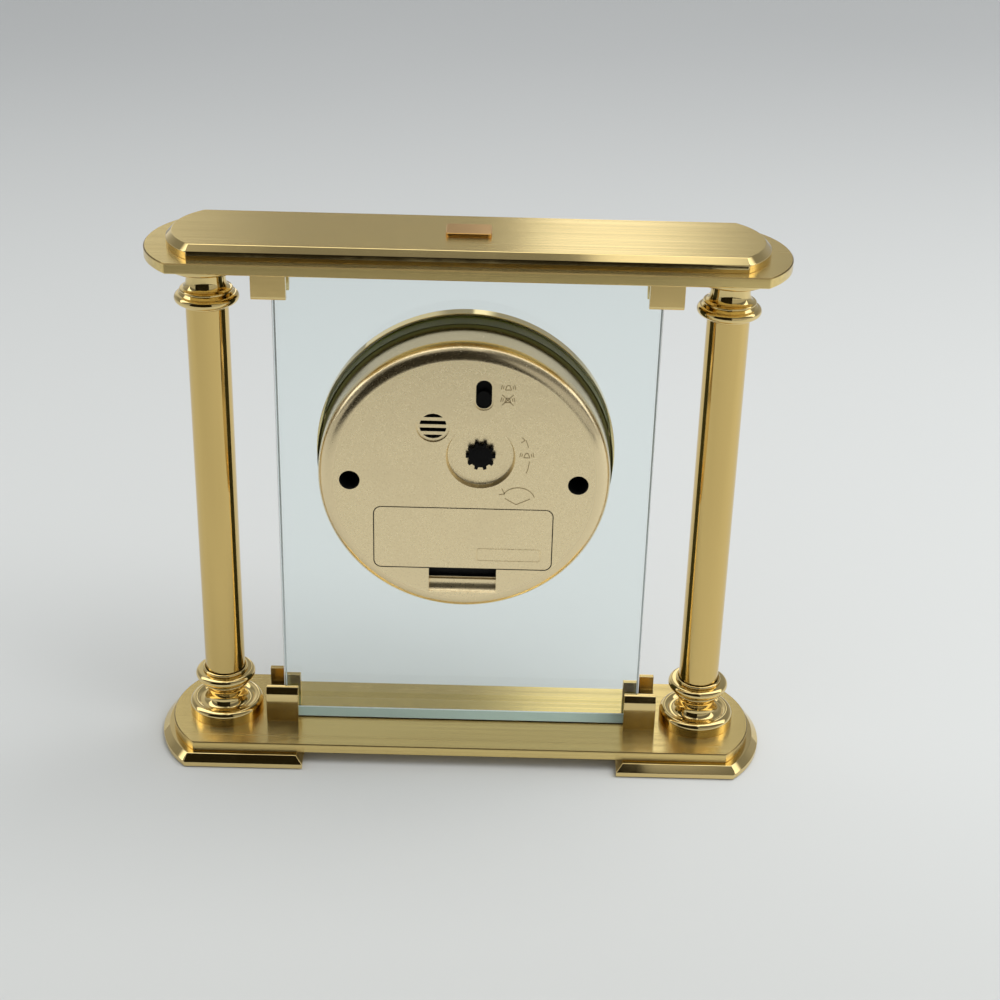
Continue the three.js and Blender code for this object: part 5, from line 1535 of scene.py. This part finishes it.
@dataclass
class RearSide(HeadHalf):
    """The gold moulded cover with its door, controls and grille."""

    steps: int = 144
    radius: float = 44.1
    wall: float = 1.8
    rear: float = 19.3
    front: float = -1.9
    fillet: float = 4.7
    band_low: float = 0.7
    band_high: float = 4.0
    band_depth: float = 0.8
    band_radius: float = 44.7
    band_wave: float = 0.12
    knob_place: tuple[float, float] = (-4.85, 8.65)
    recess_radius: float = 10.2
    recess_floor: float = 9.0
    recess_depth: float = 2.0
    recess_thick: float = 1.7
    neck_radius: float = 2.5
    switch_place: tuple[float, float] = (-5.5, 28.8)
    switch_width: float = 4.7
    switch_length: float = 8.9
    switch_step: float = 0.5
    switch_step_depth: float = 0.4
    grille_place: tuple[float, float] = (9.4, 18.2)
    grille_radius: float = 4.0
    grille_recess: float = 5.0
    grille_recess_depth: float = 0.6
    grille_slot: float = 1.2
    grille_pitch: float = 2.27
    grille_slots: int = 4
    well_x: float = 34.3
    well_radius: float = 3.1
    well_floor: float = 8.1
    door_width: float = 54.0
    door_height: float = 20.4
    door_z: float = -18.95
    door_thick: float = 1.4
    door_corner: float = 2.2
    door_gap: float = 0.3
    notch_half: float = 10.3
    notch_deep: float = 4.6
    notch_deep_width: float = 4.4
    notch_ledge: float = 2.6
    notch_bottom: float = -38.2
    notch_corner: float = 1.3
    bay_width: float = 51.7
    bay_height: float = 16.0
    bay_wall: float = 1.5
    bay_thick: float = 1.4
    well_wall: float = 1.4
    well_thick: float = 1.8
    recess_wall: float = 0.5
    bay_corner: float = 1.0
    bay_depth: float = 2.4
    notch_wall: float = 1.5
    notch_thick: float = 1.4
    switch_flat: float = 0.12
    pad_width: float = 40.0
    pad_height: float = 8.0
    pad_corner: float = 1.0
    pad_depth: float = 2.0
    cover_rounding: float = 0.14
    door_rounding: float = 0.22
    panel_place: tuple[float, float] = (-13.9, -24.25)
    panel_width: float = 19.6
    panel_height: float = 4.4
    panel_corner: float = 1.0
    panel_rim: float = 0.25
    panel_depth: float = 0.12
    mark_depth: float = 0.05
    mark_height: float = 0.07
    alarm_arc_radius: float = 14.6

    def bar(self, name: str, outline: Profile, low: float, high: float,
            centre: tuple[float, float] = (0.0, 0.0)) -> Piece:
        """Pulls an outline on the rear face from one depth to another, about a centre."""
        points = [millimetres(centre[0] + x, low, self.height + centre[1] + z) for x, z in outline]
        return pull(name, points, millimetres(0, high - low, 0))

    def disc(self, name: str, radius: float, low: float, high: float,
             centre: tuple[float, float]) -> Piece:
        """Pulls a round bar from one depth to another, about a centre."""
        return self.bar(name, arc((0, 0), radius, 0, 352.5, 47), low, high, centre)

    def build(self, finishes: Finishes) -> None:
        """Builds and dresses the rear of the head.

        Args:
            finishes: The clock's materials.
        """
        cover = self.model_cover(finishes)
        settle(cover, "frame", ["rear_cover"])
        marks = self.model_marks()
        # The raised signs take the darker brown: painted shade of their relief.
        coat(finishes.marks, marks)
        settle(marks, "frame")
        door = self.model_door(finishes)
        settle(door, "door", ["battery_door"])
        knob = self.model_knob()
        coat(finishes.black, knob)
        settle(knob, "setting")
        dress("setting_knob", finishes.black)
        dress("alarm_slider", finishes.black)
        band = self.model_band()
        coat(finishes.rubber, band)
        settle(band, "frame", ["grip_band"])
        dress("buzzer", finishes.black)
        # The cover screws sit at the bottom of deep wells; their near-black steel is painted shade.
        for side in Side:
            dress(f"cover_screw_{side.word}", finishes.dark_steel_and_well_shade)

    def cup_profile(self) -> list[tuple[float, float]]:
        """Draws the section of the cup without its openings.

        Returns:
            Pairs of radius and depth, closed at the axis.
        """
        flat = self.radius - self.fillet
        bend = self.rear - self.fillet
        inner = self.radius - self.wall
        inner_fillet = self.fillet - self.wall
        groove = self.radius - self.band_depth
        return [
            (0.0, self.rear),
            *arc((flat, bend), self.fillet, 90, 0, 14),
            (self.radius, self.band_high + 0.3), (groove, self.band_high + 0.3),
            (groove, self.band_low - 0.3), (self.radius, self.band_low - 0.3),
            (self.radius, self.front), (inner, self.front),
            *arc((flat, bend), inner_fillet, 0, 90, 8),
            (0.0, self.rear - self.wall),
        ]

    def model_cover(self, finishes: Finishes) -> Piece:
        """Models the cover: a turned cup with bosses added and openings cut.

        Args:
            finishes: The clock's materials.

        Returns:
            The cover.
        """
        cover = turn("cover_moulded", self.cup_profile(), self.steps, Axis.HEAD, self.centre)
        bosses = self.model_bosses()
        coat(finishes.cover, cover, *bosses)
        combine(cover, bosses, "UNION")
        bright, dark = self.model_bright_cutters(), self.model_shade_painted_cutters()
        coat(finishes.cover, *bright)
        # The dark cutters give their faces the near-black material: painted shade in the openings and
        # wells.
        coat(finishes.inside, *dark)
        combine(cover, [*bright, *dark])
        outer = (self.rear - 0.02) * MM
        flat = (self.radius - self.fillet) * MM
        paint_faces(cover, finishes.cover_rim,
                    lambda centre, normal: math.hypot(centre.x, centre.z - self.centre.z) > flat
                    and normal.y < 0.999)
        # Faces inside the cup also take the near-black material: painted shade of the hollow cover.
        paint_faces(cover, finishes.inside,
                    lambda centre, normal: centre.y < outer and normal.y < -0.9
                    and math.hypot(centre.x, centre.z - self.centre.z) < (self.radius - 2) * MM)
        break_edges(cover, self.cover_rounding, 2, 50)
        smooth(cover, 30)
        return cover

    def model_bosses(self) -> list[Piece]:
        """Models what stands inside the cup: round the knob, the screws, the cell and the notch.

        Returns:
            The bosses.
        """
        top = self.rear - self.wall + 0.2
        bosses = [self.disc("recess_boss", self.recess_radius + self.recess_wall,
                            self.rear - self.recess_depth - self.recess_thick, top,
                            self.knob_place)]
        for side in Side:
            bosses.append(self.disc(f"well_boss_{side.word}", self.well_radius + self.well_wall,
                                    self.well_floor - self.well_thick, top,
                                    (side.value * self.well_x, 0)))
        more = self.door_gap + self.bay_wall
        bosses.append(self.bar("bay_frame", self.grown_door(more), self.ledge - self.bay_thick,
                               self.ledge + 0.2, (0, self.door_z)))
        half = self.notch_half + self.notch_wall
        low, high = self.notch_bottom - 1, self.door_z - self.door_height / 2 + 1.2
        block = [(-half, low), (half, low), (half, high), (-half, high)]
        bosses.append(self.bar("notch_block", block, self.rear - self.notch_deep - self.notch_thick, top))
        return bosses

    def model_bright_cutters(self) -> list[Piece]:
        """Models the cutters that leave gold faces: dishes, the slot's step and the notch's ramp.

        Returns:
            The cutters.
        """
        return [self.model_recess_cutter(),
                self.disc("grille_dish", self.grille_recess, self.rear - self.grille_recess_depth,
                          self.outside, self.grille_place),
                self.bar("switch_step_cutter", self.grown_switch(self.switch_step),
                         self.rear - self.switch_step_depth, self.outside,
                         self.switch_place),
                self.model_ramp_cutter()]

    def model_shade_painted_cutters(self) -> list[Piece]:
        """Models the cutters that leave faces painted near-black as shade: openings for door, cell, knob,
        switch and screws.

        Returns:
            The cutters.
        """
        bay = rounded_box(self.bay_width, self.bay_height, self.bay_corner)
        cutters = [self.bar("door_cutter", self.grown_door(self.door_gap), self.ledge, self.outside,
                            (0, self.door_z)),
                   self.bar("bay_cutter", bay, self.ledge - self.bay_depth, self.ledge + 1,
                            (0, self.door_z)),
                   self.disc("knob_cutter", self.neck_radius + 0.3, 0, self.rear,
                             self.knob_place),
                   self.bar("switch_cutter", self.grown_switch(0), self.rear - self.wall - 1,
                            self.outside, self.switch_place),
                   self.model_pocket_cutter()]
        for side in Side:
            cutters.append(self.disc(f"well_cutter_{side.word}", self.well_radius, self.well_floor,
                                     self.outside, (side.value * self.well_x, 0)))
        return cutters + self.model_grille_cutters()

    @property
    def outside(self) -> float:
        """Depth just outside the rear face, where the cutters end."""
        return self.rear + 1

    @property
    def knob_axis(self) -> Vector:
        """A point on the knob's axis, in metres."""
        return millimetres(self.knob_place[0], 0, self.height + self.knob_place[1])

    @property
    def ledge(self) -> float:
        """Depth of the ledge that the battery door rests on."""
        return self.rear - self.wall + 0.1

    def grown_door(self, more: float) -> list[tuple[float, float]]:
        """Draws the door's outline, larger by a margin on every side."""
        return rounded_box(self.door_width + 2 * more, self.door_height + 2 * more,
                           self.door_corner + more)

    def grown_switch(self, more: float) -> list[tuple[float, float]]:
        """Draws the outline of the switch's slot, larger by a margin on every side."""
        return rounded_box(self.switch_width + 2 * more, self.switch_length + 2 * more,
                           self.switch_width / 2 + more - self.switch_flat, 16)

    def model_recess_cutter(self) -> Piece:
        """Models the dish that is cut round the setting knob.

        Returns:
            The cutter.
        """
        low = self.rear - self.recess_depth
        profile = [(0.0, self.outside), (self.recess_radius + 0.6, self.outside),
                   (self.recess_radius + 0.15, self.rear + 0.01),
                   *arc((self.recess_floor + 0.5, low + 0.5), 0.5, 0, -90, 5), (0.0, low)]
        return turn("recess_cutter", profile, 72, Axis.HEAD, self.knob_axis)

    def model_grille_cutters(self) -> list[Piece]:
        """Models the slots of the sound grille, each as long as the circle allows.

        Returns:
            The cutters.
        """
        cutters = []
        for i in range(self.grille_slots):
            level = (i - (self.grille_slots - 1) / 2) * self.grille_pitch
            low, high = level - self.grille_slot / 2, level + self.grille_slot / 2
            heights = [low + (high - low) * k / 6 for k in range(7)]
            right = [(math.sqrt(max(self.grille_radius ** 2 - z * z, 0.0)), z) for z in heights]
            left = [(-x, z) for x, z in reversed(right)]
            cutters.append(self.bar(f"grille_cutter_{i}", [*right, *left], self.rear - self.wall - 1,
                                    self.outside, self.grille_place))
        return cutters

    def model_pocket_cutter(self) -> Piece:
        """Models the deep part of the finger notch, right under the door.

        Returns:
            The cutter.
        """
        top = self.door_z - self.door_height / 2 + 0.1
        low = top - 0.1 - self.notch_deep_width
        half = self.notch_half + 0.03
        outline = [(-half, low), (half, low), (half, top), (-half, top)]
        return self.bar("pocket_cutter", outline, self.rear - self.notch_deep, self.outside)

    def model_ramp_cutter(self) -> Piece:
        """Models the scooped ramp below the deep part of the notch.

        Returns:
            The cutter.
        """
        top = self.door_z - self.door_height / 2 - self.notch_deep_width + 0.05
        foot = self.notch_bottom
        section = [(self.outside, top), (self.rear - self.notch_ledge, top),
                   (self.rear - self.notch_ledge + 0.05, top - 0.7),
                   *arc((self.rear + 1.2, foot + 3.4), 3.1, 165, 246, 10), (self.outside, foot - 0.2)]
        points = [millimetres(-self.notch_half, y, self.height + z) for y, z in section]
        cutter = pull("ramp_cutter", points, millimetres(2 * self.notch_half, 0, 0))
        corners = rounded_box(2 * self.notch_half + 0.02, 2 * (top - foot) + 0.4, self.notch_corner)
        combine(cutter, [self.bar("notch_corners", corners, self.rear - 4, self.rear + 2, (0, top))],
                "INTERSECT")
        return cutter

    def model_door(self, finishes: Finishes) -> Piece:
        """Models the battery door with a bare panel at its corner, outlined by a shallow groove.

        Args:
            finishes: The clock's materials.

        Returns:
            The door.
        """
        outline = rounded_box(self.door_width, self.door_height, self.door_corner)
        door = self.bar("door_moulded", outline, self.rear - self.door_thick, self.rear, (0, self.door_z))
        coat(finishes.cover, door)
        margin = 2 * self.panel_rim
        rim = self.bar("panel_rim", rounded_box(self.panel_width, self.panel_height, self.panel_corner),
                       self.rear - self.panel_depth, self.rear + 0.5, self.panel_place)
        field = rounded_box(self.panel_width - margin, self.panel_height - margin,
                            self.panel_corner - 0.2)
        combine(rim, [self.bar("panel_field", field, self.rear - 0.3, self.rear + 0.6, self.panel_place)])
        # The panel's groove takes the darker brown: painted shade.
        coat(finishes.marks, rim)
        combine(door, [rim])
        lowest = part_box("battery_door")[0].y / MM
        pad = self.bar("door_pad", rounded_box(self.pad_width, self.pad_height, self.pad_corner),
                       max(lowest, self.rear - self.pad_depth), self.rear - self.door_thick + 0.05,
                       (0, self.door_z))
        coat(finishes.cover, pad)
        combine(door, [pad], "UNION")
        break_edges(door, self.door_rounding, 3, 60)
        smooth(door, 30)
        return door

    def stroke(self, name: str, points: Profile, width: float = 0.24) -> list[Piece]:
        """Models a thin moulded line as short bars between points on the cover.

        Args:
            name: Name for the bars.
            points: Pairs of place across and above the head's axis.
            width: Width of the line in millimetres.

        Returns:
            The bars.
        """
        bars = []
        for i, (start, end) in enumerate(zip(points, points[1:])):
            dx, dz = end[0] - start[0], end[1] - start[1]
            length = math.hypot(dx, dz) or 1.0
            sx, sz = -dz / length * width / 2, dx / length * width / 2
            outline = [(start[0] - sx, start[1] - sz), (end[0] - sx, end[1] - sz),
                       (end[0] + sx, end[1] + sz), (start[0] + sx, start[1] + sz)]
            bars.append(self.bar(f"{name}_{i}", outline, self.rear - self.mark_depth,
                                 self.rear + self.mark_height))
        return bars

    def bell(self, name: str, across: float, above: float) -> list[Piece]:
        """Draws a small bell with sound strokes on each side.

        Args:
            name: Name for its bars.
            across: Place across from the head's axis.
            above: Place above it.

        Returns:
            The bars.
        """
        lines = [[(-0.9, -0.8), (-0.6, 0.1), (-0.35, 0.6), (0.35, 0.6), (0.6, 0.1), (0.9, -0.8),
                  (-0.9, -0.8)],
                 [(-1.5, -0.5), (-1.3, 0.5)], [(1.5, -0.5), (1.3, 0.5)],
                 [(-2.1, -0.6), (-1.8, 0.8)], [(2.1, -0.6), (1.8, 0.8)]]
        bars = []
        for k, line in enumerate(lines):
            bars += self.stroke(f"{name}_{k}", [(across + x, above + z) for x, z in line])
        return bars

    def model_marks(self) -> Piece:
        """Models the moulded signs for the alarm switch, alarm setting and time setting.

        Returns:
            The signs as one mesh.
        """
        knob, reach = self.knob_place, self.alarm_arc_radius
        lines = {
            "alarm_arc_high": arc(knob, reach, 156, 166, 3),
            "alarm_arc_low": arc(knob, reach, 184, 200, 4),
            "alarm_tip": [(-17.1, 15.4), (-17.9, 14.5), (-16.9, 13.7)],
            "time_arc": arc((-16.4, -5.4), (5.0, 4.2), 165, 30, 10),
            "time_tip": [(-11.4, -1.6), (-12.3, -3.4), (-10.6, -3.7)],
            "time_hands": [(-20.0, -4.9), (-15.8, -6.9), (-12.4, -4.9)],
            "cross_a": [(-14.2, 25.7), (-10.8, 29.1)],
            "cross_b": [(-14.2, 29.1), (-10.8, 25.7)],
        }
        bars = [*self.bell("bell_on", -12.6, 31.4), *self.bell("bell_off", -12.5, 27.4),
                *self.bell("bell_set", -18.6, 9.6)]
        for word, points in lines.items():
            bars += self.stroke(word, points)
        bars[0].name = "cover_marks"
        bars[0].data.name = "cover_marks"
        return join(bars)

    def model_knob(self) -> Piece:
        """Models the rounded cap over the ribbed head of the setting knob.

        Returns:
            The cap.
        """
        top = self.rear - 0.3
        profile = [(0.0, top + 0.12), (2.2, top + 0.1), (2.9, top + 0.05), (3.2, top - 0.02),
                   (3.2, top - 0.2), (0.0, top - 0.2)]
        cap = turn("knob_ribbed", profile, 48, Axis.HEAD, self.knob_axis)
        smooth(cap, 40)
        return cap

    def model_band(self) -> Piece:
        """Models the rubber band that grips the hole of the pane.

        Returns:
            The band.
        """
        inner = self.radius - self.band_depth + 0.3
        crown = [(self.band_radius - self.band_wave * (1 - math.cos(math.tau * i / 12 * 3)),
                  self.band_low + (self.band_high - self.band_low) * i / 12) for i in range(13)]
        ring = [(inner, self.band_low), *crown, (inner, self.band_high), (inner, self.band_low)]
        return self.turn_on_axis("band_rubber", ring, 50)


@dataclass
class Works:
    """The movement inside the head: wheels, plates, coil, board and cell."""

    brass: tuple[str, ...] = ("cannon_pinion", "hour_wheel", "motion_wheel", "alarm_wheel",
                              "alarm_setting_wheel")
    plastic: tuple[str, ...] = ("movement_front_plate", "movement_middle_plate", "movement_rear_plate",
                                "second_wheel", "third_wheel", "centre_wheel", "intermediate_wheel")
    steel: tuple[str, ...] = ("stator", "contact_plate", "contact_leaf")

    def build(self, finishes: Finishes) -> None:
        """Dresses the nodes of the movement.

        Args:
            finishes: The clock's materials.
        """
        for nodes, material in ((self.brass, finishes.works_brass), (self.plastic, finishes.works),
                                (self.steel, finishes.steel)):
            for node in nodes:
                dress(node, material)
        dress("rotor", finishes.dark_steel_and_well_shade)
        dress("coil", finishes.wire)
        dress("circuit_board", finishes.board)
        dress("battery", finishes.cell)


# The studio


@dataclass
class Studio:
    """Camera, floor, lamps and surroundings."""

    camera_place: tuple[float, float, float] = (-9.59, 516.99, 349.71)
    right: tuple[float, float, float] = (-0.99969, -0.00906, 0.02322)
    up: tuple[float, float, float] = (0.02480, -0.45331, 0.89101)
    forward: tuple[float, float, float] = (-0.00245, -0.89131, -0.45339)
    lens: float = 66.83
    floor_half: float = 4000.0
    # The far and near floor colours are darker than the middle: painted shade.
    floor_far: Colour = (0.44, 0.45, 0.455)
    floor_middle: Colour = (0.64, 0.652, 0.645)
    floor_near: Colour = (0.575, 0.583, 0.57)
    floor_cloud: Colour = (0.55, 0.56, 0.56)
    lamp_place: tuple[float, float, float] = (-1.0, 0.05, 1.7)
    lamp_target: tuple[float, float, float] = (0.0, 0.0, 0.09)
    lamp_size: tuple[float, float] = (1.8, 1.6)
    lamp_power: float = 30.0
    mirrored_white: Colour = (2.0, 2.02, 1.99)
    room_light: Colour = (0.62, 0.63, 0.63)
    backdrop: Colour = (0.53, 0.535, 0.535)
    card_dark: Colour = (0.006, 0.005, 0.003)
    card_light: Colour = (0.03, 0.024, 0.012)
    card_thick: float = 0.01
    cards: Sequence[tuple[str, tuple[float, float], tuple[float, float], float]] = (
        ("card_photographer", (-0.12, 0.02), (0.6, 0.70), 0.42),
        ("card_table_edge", (-0.8, 0.02), (0.8, 0.06), 0.44))
    dim_half: Sequence[tuple[float, float]] = (
        (0.0, 0.2), (0.1, 0.19), (0.2, 0.14), (0.33, 0.13), (0.37, 0.8), (0.565, 1.1), (0.59, 0.13),
        (0.66, 0.12), (0.7, 0.08), (0.8, 0.08), (0.88, 0.24), (1.0, 0.24))
    bright_half: Sequence[tuple[float, float]] = (
        (0.0, 0.74), (0.2, 0.72), (0.26, 0.36), (0.33, 0.36), (0.37, 0.8), (0.565, 1.1), (0.59, 0.62),
        (0.66, 0.62), (0.7, 0.1), (0.8, 0.08), (0.88, 0.24), (1.0, 0.24))
    border: tuple[float, float] = (-0.014, -0.05)

    def build(self) -> None:
        """Sets up everything round the clock."""
        self.place_camera()
        self.lay_floor()
        self.hang_lamp()
        self.colour_world()
        self.stand_cards()
        bpy.context.scene.view_settings.view_transform = "Standard"

    def place_camera(self) -> None:
        """Puts the camera where the photograph was taken from."""
        data = bpy.data.cameras.new("camera")
        data.lens = self.lens
        data.sensor_width = 36.0
        data.clip_start = 0.01
        data.clip_end = 50.0
        camera = bpy.data.objects.new("camera", data)
        bpy.context.scene.collection.objects.link(camera)
        turned = Matrix((self.right, self.up, [-v for v in self.forward])).transposed().to_4x4()
        camera.matrix_world = Matrix.Translation(millimetres(*self.camera_place)) @ turned
        bpy.context.scene.camera = camera

    def lay_floor(self) -> None:
        """Lays the pale floor, with painted shade that darkens it towards the far back and near the
        camera.
        """
        half = self.floor_half
        corners = [(-half, -half), (half, -half), (half, half), (-half, half)]
        floor = pull("floor", [millimetres(x, y, -20) for x, y in corners], millimetres(0, 0, 20))
        material, graph, shader, place = new_material("floor_pale")
        depth = graph.add("ShaderNodeSeparateXYZ", {0: place}).outputs["Y"]
        cloud = graph.fit(graph.noise(place, 2.0, Detail=2.0), 0.3, 0.7, 0.0, 0.12)
        # Painted shade: the floor darkens towards the far back and again near the camera.
        shade = graph.mix(graph.fit(depth, -1.1, -0.1, 0.0, 1.0, "SMOOTHSTEP"), self.floor_far,
                          self.floor_middle)
        shade = graph.mix(graph.fit(depth, -0.02, 0.22, 0.0, 1.0, "SMOOTHSTEP"), shade, self.floor_near)
        graph.feed(shader, {"Base Color": graph.mix(cloud, shade, self.floor_cloud), "Roughness": 0.8,
                            "Specular IOR Level": 0.2})
        coat(material, floor)
        log.info("floor laid")

    def hang_lamp(self) -> None:
        """Hangs the wide soft lamp over and to one side of the clock, pointed at it."""
        data = bpy.data.lights.new("lamp_overhead", "AREA")
        data.shape = "RECTANGLE"
        data.size, data.size_y = self.lamp_size
        data.energy = self.lamp_power
        lamp = bpy.data.objects.new("lamp_overhead", data)
        bpy.context.scene.collection.objects.link(lamp)
        lamp.location = self.lamp_place
        lamp.visible_glossy = False
        way = Vector(self.lamp_target) - Vector(self.lamp_place)
        lamp.rotation_euler = way.to_track_quat("-Z", "Y").to_euler()

    def colour_world(self) -> None:
        """Colours the surroundings: a pale room that is brighter behind on one side."""
        world = bpy.data.worlds.new("surroundings")
        bpy.context.scene.world = world
        world.use_nodes = True
        graph = Graph(world.node_tree)
        for node in list(graph.tree.nodes):
            graph.tree.nodes.remove(node)
        way = graph.add("ShaderNodeTexCoord").outputs["Generated"]
        x, y, z = graph.add("ShaderNodeSeparateXYZ", {0: way}).outputs
        tilt = graph.fit(graph.maths("ARCTAN2", y, z), -math.pi / 2, math.pi / 2, 0.0, 1.0)
        dim_half, bright_half = graph.ramp(tilt, self.dim_half), graph.ramp(tilt, self.bright_half)
        across = graph.maths("SUBTRACT", x, graph.fit(tilt, 0.15, 0.6, *self.border))
        share = graph.fit(across, -0.008, 0.008, 1.0, 0.0, "SMOOTHSTEP")
        fade = graph.fit(across, -0.13, -0.05, 1.0, 0.0, "SMOOTHSTEP")
        far = graph.fit(x, 0.11, 0.19, 1.0, 2.0, "SMOOTHSTEP")
        dark_end = graph.fit(x, 0.45, 0.7, 1.0, 0.5, "SMOOTHSTEP")
        dim_half = graph.maths("MULTIPLY", graph.maths("MULTIPLY", dim_half, far), dark_end)
        level = graph.mix(share, dim_half, graph.mix(fade, bright_half, dim_half))
        mirrored = graph.mix(level, (0.0, 0.0, 0.0), self.mirrored_white)
        rays = graph.add("ShaderNodeLightPath").outputs
        seen = graph.maths("MAXIMUM", rays["Is Camera Ray"], rays["Is Transmission Ray"])
        lit = graph.mix(rays["Is Glossy Ray"], self.room_light, mirrored)
        back = graph.add("ShaderNodeBackground", {"Color": graph.mix(seen, lit, self.backdrop),
                                                  "Strength": 1.0})
        graph.add("ShaderNodeOutputWorld", {"Surface": back.outputs[0]})

    def stand_cards(self) -> None:
        """Stands the dark cards that the polished faces mirror from the camera's side."""
        for name, (left, low), (right, high), away in self.cards:
            corners = [Vector((x, away, z)) for x, z in ((left, low), (right, low), (right, high),
                                                         (left, high))]
            card = pull(name, corners, Vector((0, self.card_thick, 0)))
            material, graph, shader, place = new_material("card_dark")
            cloud = graph.noise(place, 3.0)
            graph.feed(shader, {"Base Color": graph.mix(cloud, self.card_dark, self.card_light),
                                "Specular IOR Level": 0.0})
            coat(material, card)
            for kind in ("camera", "diffuse", "transmission", "shadow", "volume_scatter"):
                setattr(card, f"visible_{kind}", False)


def main() -> None:
    """Builds the clock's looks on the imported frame, piece by piece."""
    logging.basicConfig(level=logging.INFO, format="%(name)s: %(message)s")
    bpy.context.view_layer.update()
    Studio().build()
    finishes = Finishes()
    for assembly in (Base(), Beam(), Columns(), PaneAndClips(), DialSide(), RearSide(), Works()):
        assembly.build(finishes)
    leave_selection()


if __name__ == "__main__":
    main()
